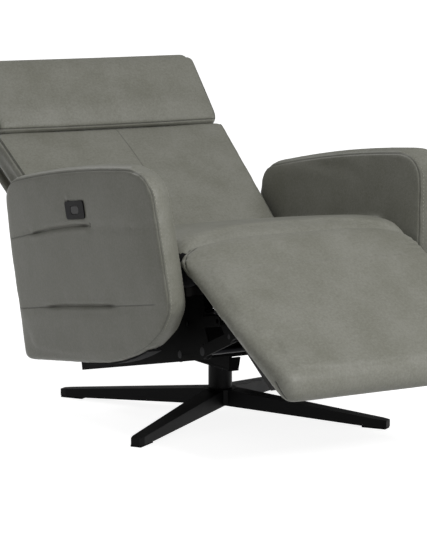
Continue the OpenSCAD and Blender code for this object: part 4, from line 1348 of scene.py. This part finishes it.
    def split_leg(self, leg: Upholstery) -> None:
        """Cuts the leg rest's skin into the bridge, which stays with the seat, and the pad, which rides.

        Args:
            leg: The whole skin.
        """
        at, along = LEG.world(0, -self.bridge_l, 0), LEG.world(0, -self.bridge_l - 100, 0)
        normal = (along - at).normalized()
        for name, outer, nodes, body in (("leg_bridge_leather", True, ("leg_bridge",), "seat_body"),
                                         ("leg_pad_leather", False, ("leg_cushion",), "leg_rest")):
            bm = bmesh.new()
            bm.from_mesh(leg.obj.data)
            cut = bmesh.ops.bisect_plane(bm, geom=[*bm.verts, *bm.edges, *bm.faces], plane_co=at,
                                         plane_no=normal, clear_outer=outer, clear_inner=not outer)
            rim = [e for e in cut["geom_cut"] if isinstance(e, bmesh.types.BMEdge)]
            bmesh.ops.holes_fill(bm, edges=rim, sides=0)
            obj = piece_from(bm, name, Look.LEATHER)
            stand_in(obj, nodes, body)
            if outer:
                start, out = LEVEL.world(0, CREASE_Y, CREASE_Z), LEVEL.world(0, CREASE_Y - 100, CREASE_Z)
                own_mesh(obj)
        bpy.data.objects.remove(leg.obj)


# ---------------------------------------------------------------- rigid pieces


@dataclass
class RigidParts:
    """The carried-over rigid pieces: each gets its finish, and those in `softened` get broken edges."""

    finishes: dict[Look, str] = field(default_factory=lambda: {
        Look.POWDER: "star_base column_tube left_back_stile right_back_stile",
        Look.MECHANISM: "turn_plate turn_lugs left_side_plate right_side_plate front_cross_rail "
            "rear_cross_tube left_arm_brackets right_arm_brackets drive_brackets back_levers "
            "leg_links leg_levers guide_links leg_brackets",
        Look.RUBBER: "base_feet",
        Look.NYLON: "column_bush",
        Look.BLACK_OXIDE: "thrust_washer spindle spindle_bolt turn_bolts tilt_shaft drive_pins guide_pins "
            "back_shaft head_hinge_arms head_pin leg_shaft leg_pins",
        Look.ROD: "back_push_rod leg_push_rod tilt_push_rod",
        Look.DARK_PLY: "seat_deck leg_board",
        Look.PLYWOOD: "left_arm_board right_arm_board back_board head_board",
        Look.LINING: "left_arm_base right_arm_base",
        Look.HOUSING: "power_box back_motor leg_motor tilt_motor",
        Look.TUBE: "back_drive_tube leg_drive_tube tilt_drive_tube",
        Look.CONTROL: "control_plate",
        Look.KEY: "control_key",
    })
    bevel_from: float = 32.0
    softened: dict[str, float] = field(default_factory=lambda: {
        "star_base": 2.2, "control_plate": 1.2, "control_key": 0.6, "power_box": 2.0,
        "turn_plate": 1.0, "left_side_plate": 0.8, "right_side_plate": 0.8, "front_cross_rail": 0.8})

    def dress(self, nodes: dict[str, Object]) -> None:
        """Gives each rigid node its finish, and breaks the edges that show.

        Args:
            nodes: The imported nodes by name.
        """
        for name, look in ((name, look) for look, names in self.finishes.items() for name in names.split()):
            obj = nodes[name]
            obj.data.materials.clear()
            obj.data.materials.append(look.value.material())
            weld = obj.modifiers.new("weld", "WELD")
            weld.merge_threshold = 1e-6
            if name in self.softened:
                bevel = obj.modifiers.new("edges", "BEVEL")
                bevel.width = self.softened[name] * MM
                bevel.segments = 2
                bevel.limit_method = "ANGLE"
                bevel.angle_limit = math.radians(self.bevel_from)
                bevel.use_clamp_overlap = True
            smooth = obj.modifiers.new("shading", "WEIGHTED_NORMAL")
            smooth.keep_sharp = True
            LOG.info("%s: %s", name, look.name)


@dataclass
class BackCover:
    """The back's rear panel: a padded leather cover with rounded edges and a sewn border."""

    round_mm: float = 4.0
    border_mm: float = 14.0
    groove_mm: float = 2.0
    groove_deep_mm: float = 1.2
    rise_mm: float = 3.0
    panel_m2: float = 0.05
    fill: float = 0.4

    def build(self) -> None:
        """Builds the panel in the place of its plain solid."""
        lo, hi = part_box("back_cover")
        bm = bmesh.new()
        bm.from_mesh(bpy.data.objects["back_cover"].data)
        bmesh.ops.remove_doubles(bm, verts=bm.verts, dist=1e-6)
        flat = [e for e in bm.edges if len(e.link_faces) == 2 and e.calc_face_angle(0) < 0.01]
        bmesh.ops.dissolve_edges(bm, edges=flat, use_verts=False)
        bmesh.ops.bevel(bm, geom=list(bm.edges), offset=self.round_mm * MM, offset_type="OFFSET", segments=3,
                        profile=0.5, affect="EDGES", material=-1)
        big = [f for f in bm.faces if f.calc_area() > self.panel_m2]
        bmesh.ops.inset_region(bm, faces=big, thickness=self.border_mm * MM, depth=0.0)
        bmesh.ops.inset_region(bm, faces=big, thickness=self.groove_mm * MM,
                                depth=-self.groove_deep_mm * MM)
        bmesh.ops.inset_region(bm, faces=big, thickness=self.rise_mm * MM,
                                depth=self.groove_deep_mm * MM)
        obj = piece_from(bm, "rear_cover_leather", Look.LEATHER)
        stand_in(obj, ("back_cover",), "back")
        LOG.info("rear_cover_leather from %s to %s", lo, hi)


# ---------------------------------------------------------------- studio


@dataclass
class Studio:
    """The floor, the lamps, the world and the camera of the photograph's view."""

    eye: Point = (-2661.9, -4430.1, 1079.7)
    right: Point = (0.85862, -0.51261, 0.0)
    up: Point = (0.07568, 0.12676, 0.98904)
    ahead: Point = (0.507, 0.84921, -0.14764)
    lens: float = 158.24
    sky: float = 0.25
    floor_m: float = 60.0
    aim_m: float = 0.4
    lamps: tuple[tuple[str, Point, float, float], ...] = (
        ("key", (0.6, -3.6, 3.0), 1.9, 150), ("fill", (-2.6, -2.2, 3.2), 2.0, 12), ("rim", (-0.6, 2.8, 2.6), 1.6, 30))

    def camera(self) -> None:
        """Sets up the camera."""
        data = bpy.data.cameras.new("photo_camera")
        data.sensor_fit = "AUTO"
        data.sensor_width = 36
        data.lens = self.lens
        data.clip_start, data.clip_end = 0.1, 200
        obj = bpy.data.objects.new("photo_camera", data)
        bpy.context.scene.collection.objects.link(obj)
        columns = (Vector(self.right), Vector(self.up), -Vector(self.ahead))
        obj.matrix_world = Matrix.Translation(Vector(self.eye) * MM) @ Matrix(columns).transposed().to_4x4()
        bpy.context.scene.camera = obj

    def floor(self) -> None:
        """Lays the floor: a wide flat disc."""
        bm = bmesh.new()
        bmesh.ops.create_circle(bm, cap_ends=True, radius=self.floor_m, segments=96)
        obj = piece_from(bm, "studio_floor", Look.POWDER)
        obj.data.materials.clear()
        obj.data.materials.append(StudioFloor().material())

    def lamp(self, name: str, place: Point, size: float, power: float) -> None:
        """Adds one soft square lamp aimed at the seat.

        Args:
            name: The lamp's name.
            place: Where it hangs, in metres.
            size: Its edge, in metres.
            power: Its power, in watts.
        """
        data = bpy.data.lights.new(name, "AREA")
        data.shape = "SQUARE"
        data.size = size
        data.energy = power
        obj = bpy.data.objects.new(name, data)
        obj.location = place
        aim = Vector((0, 0, self.aim_m)) - Vector(place)
        obj.rotation_euler = aim.to_track_quat("-Z", "Y").to_euler()
        bpy.context.scene.collection.objects.link(obj)

    def world(self) -> None:
        """Makes the sky: plain soft light, white to the camera and to transmitted rays."""
        world = bpy.data.worlds.new("studio")
        bpy.context.scene.world = world
        world.use_nodes = True
        tree = world.node_tree
        tree.nodes.clear()
        path = add_node(tree, "LightPath")
        seen = add_node(tree, "Math", {"operation": "MAXIMUM"}, {
            0: path.outputs["Is Camera Ray"], 1: path.outputs["Is Transmission Ray"]})
        power = add_node(tree, "Math", {"operation": "MULTIPLY_ADD", 1: 1 - self.sky, 2: self.sky},
                         {0: seen.outputs[0]})
        back = add_node(tree, "Background", {"Color": (1, 1, 1, 1)}, {"Strength": power.outputs[0]})
        add_node(tree, "OutputWorld", links={"Surface": back.outputs[0]})

    def build(self) -> None:
        """Builds the whole studio."""
        self.camera()
        self.floor()
        self.world()
        for lamp in self.lamps:
            self.lamp(*lamp)
        bpy.context.scene.view_settings.view_transform = "Standard"


def main() -> None:
    """Builds the chair in order, then its studio."""
    logging.basicConfig(level=logging.INFO, format="%(name)s: %(message)s")
    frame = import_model()
    RigidParts().dress(frame["nodes"])
    Soft().build()
    BackCover().build()
    Studio().build()


if __name__ == "__main__":
    main()
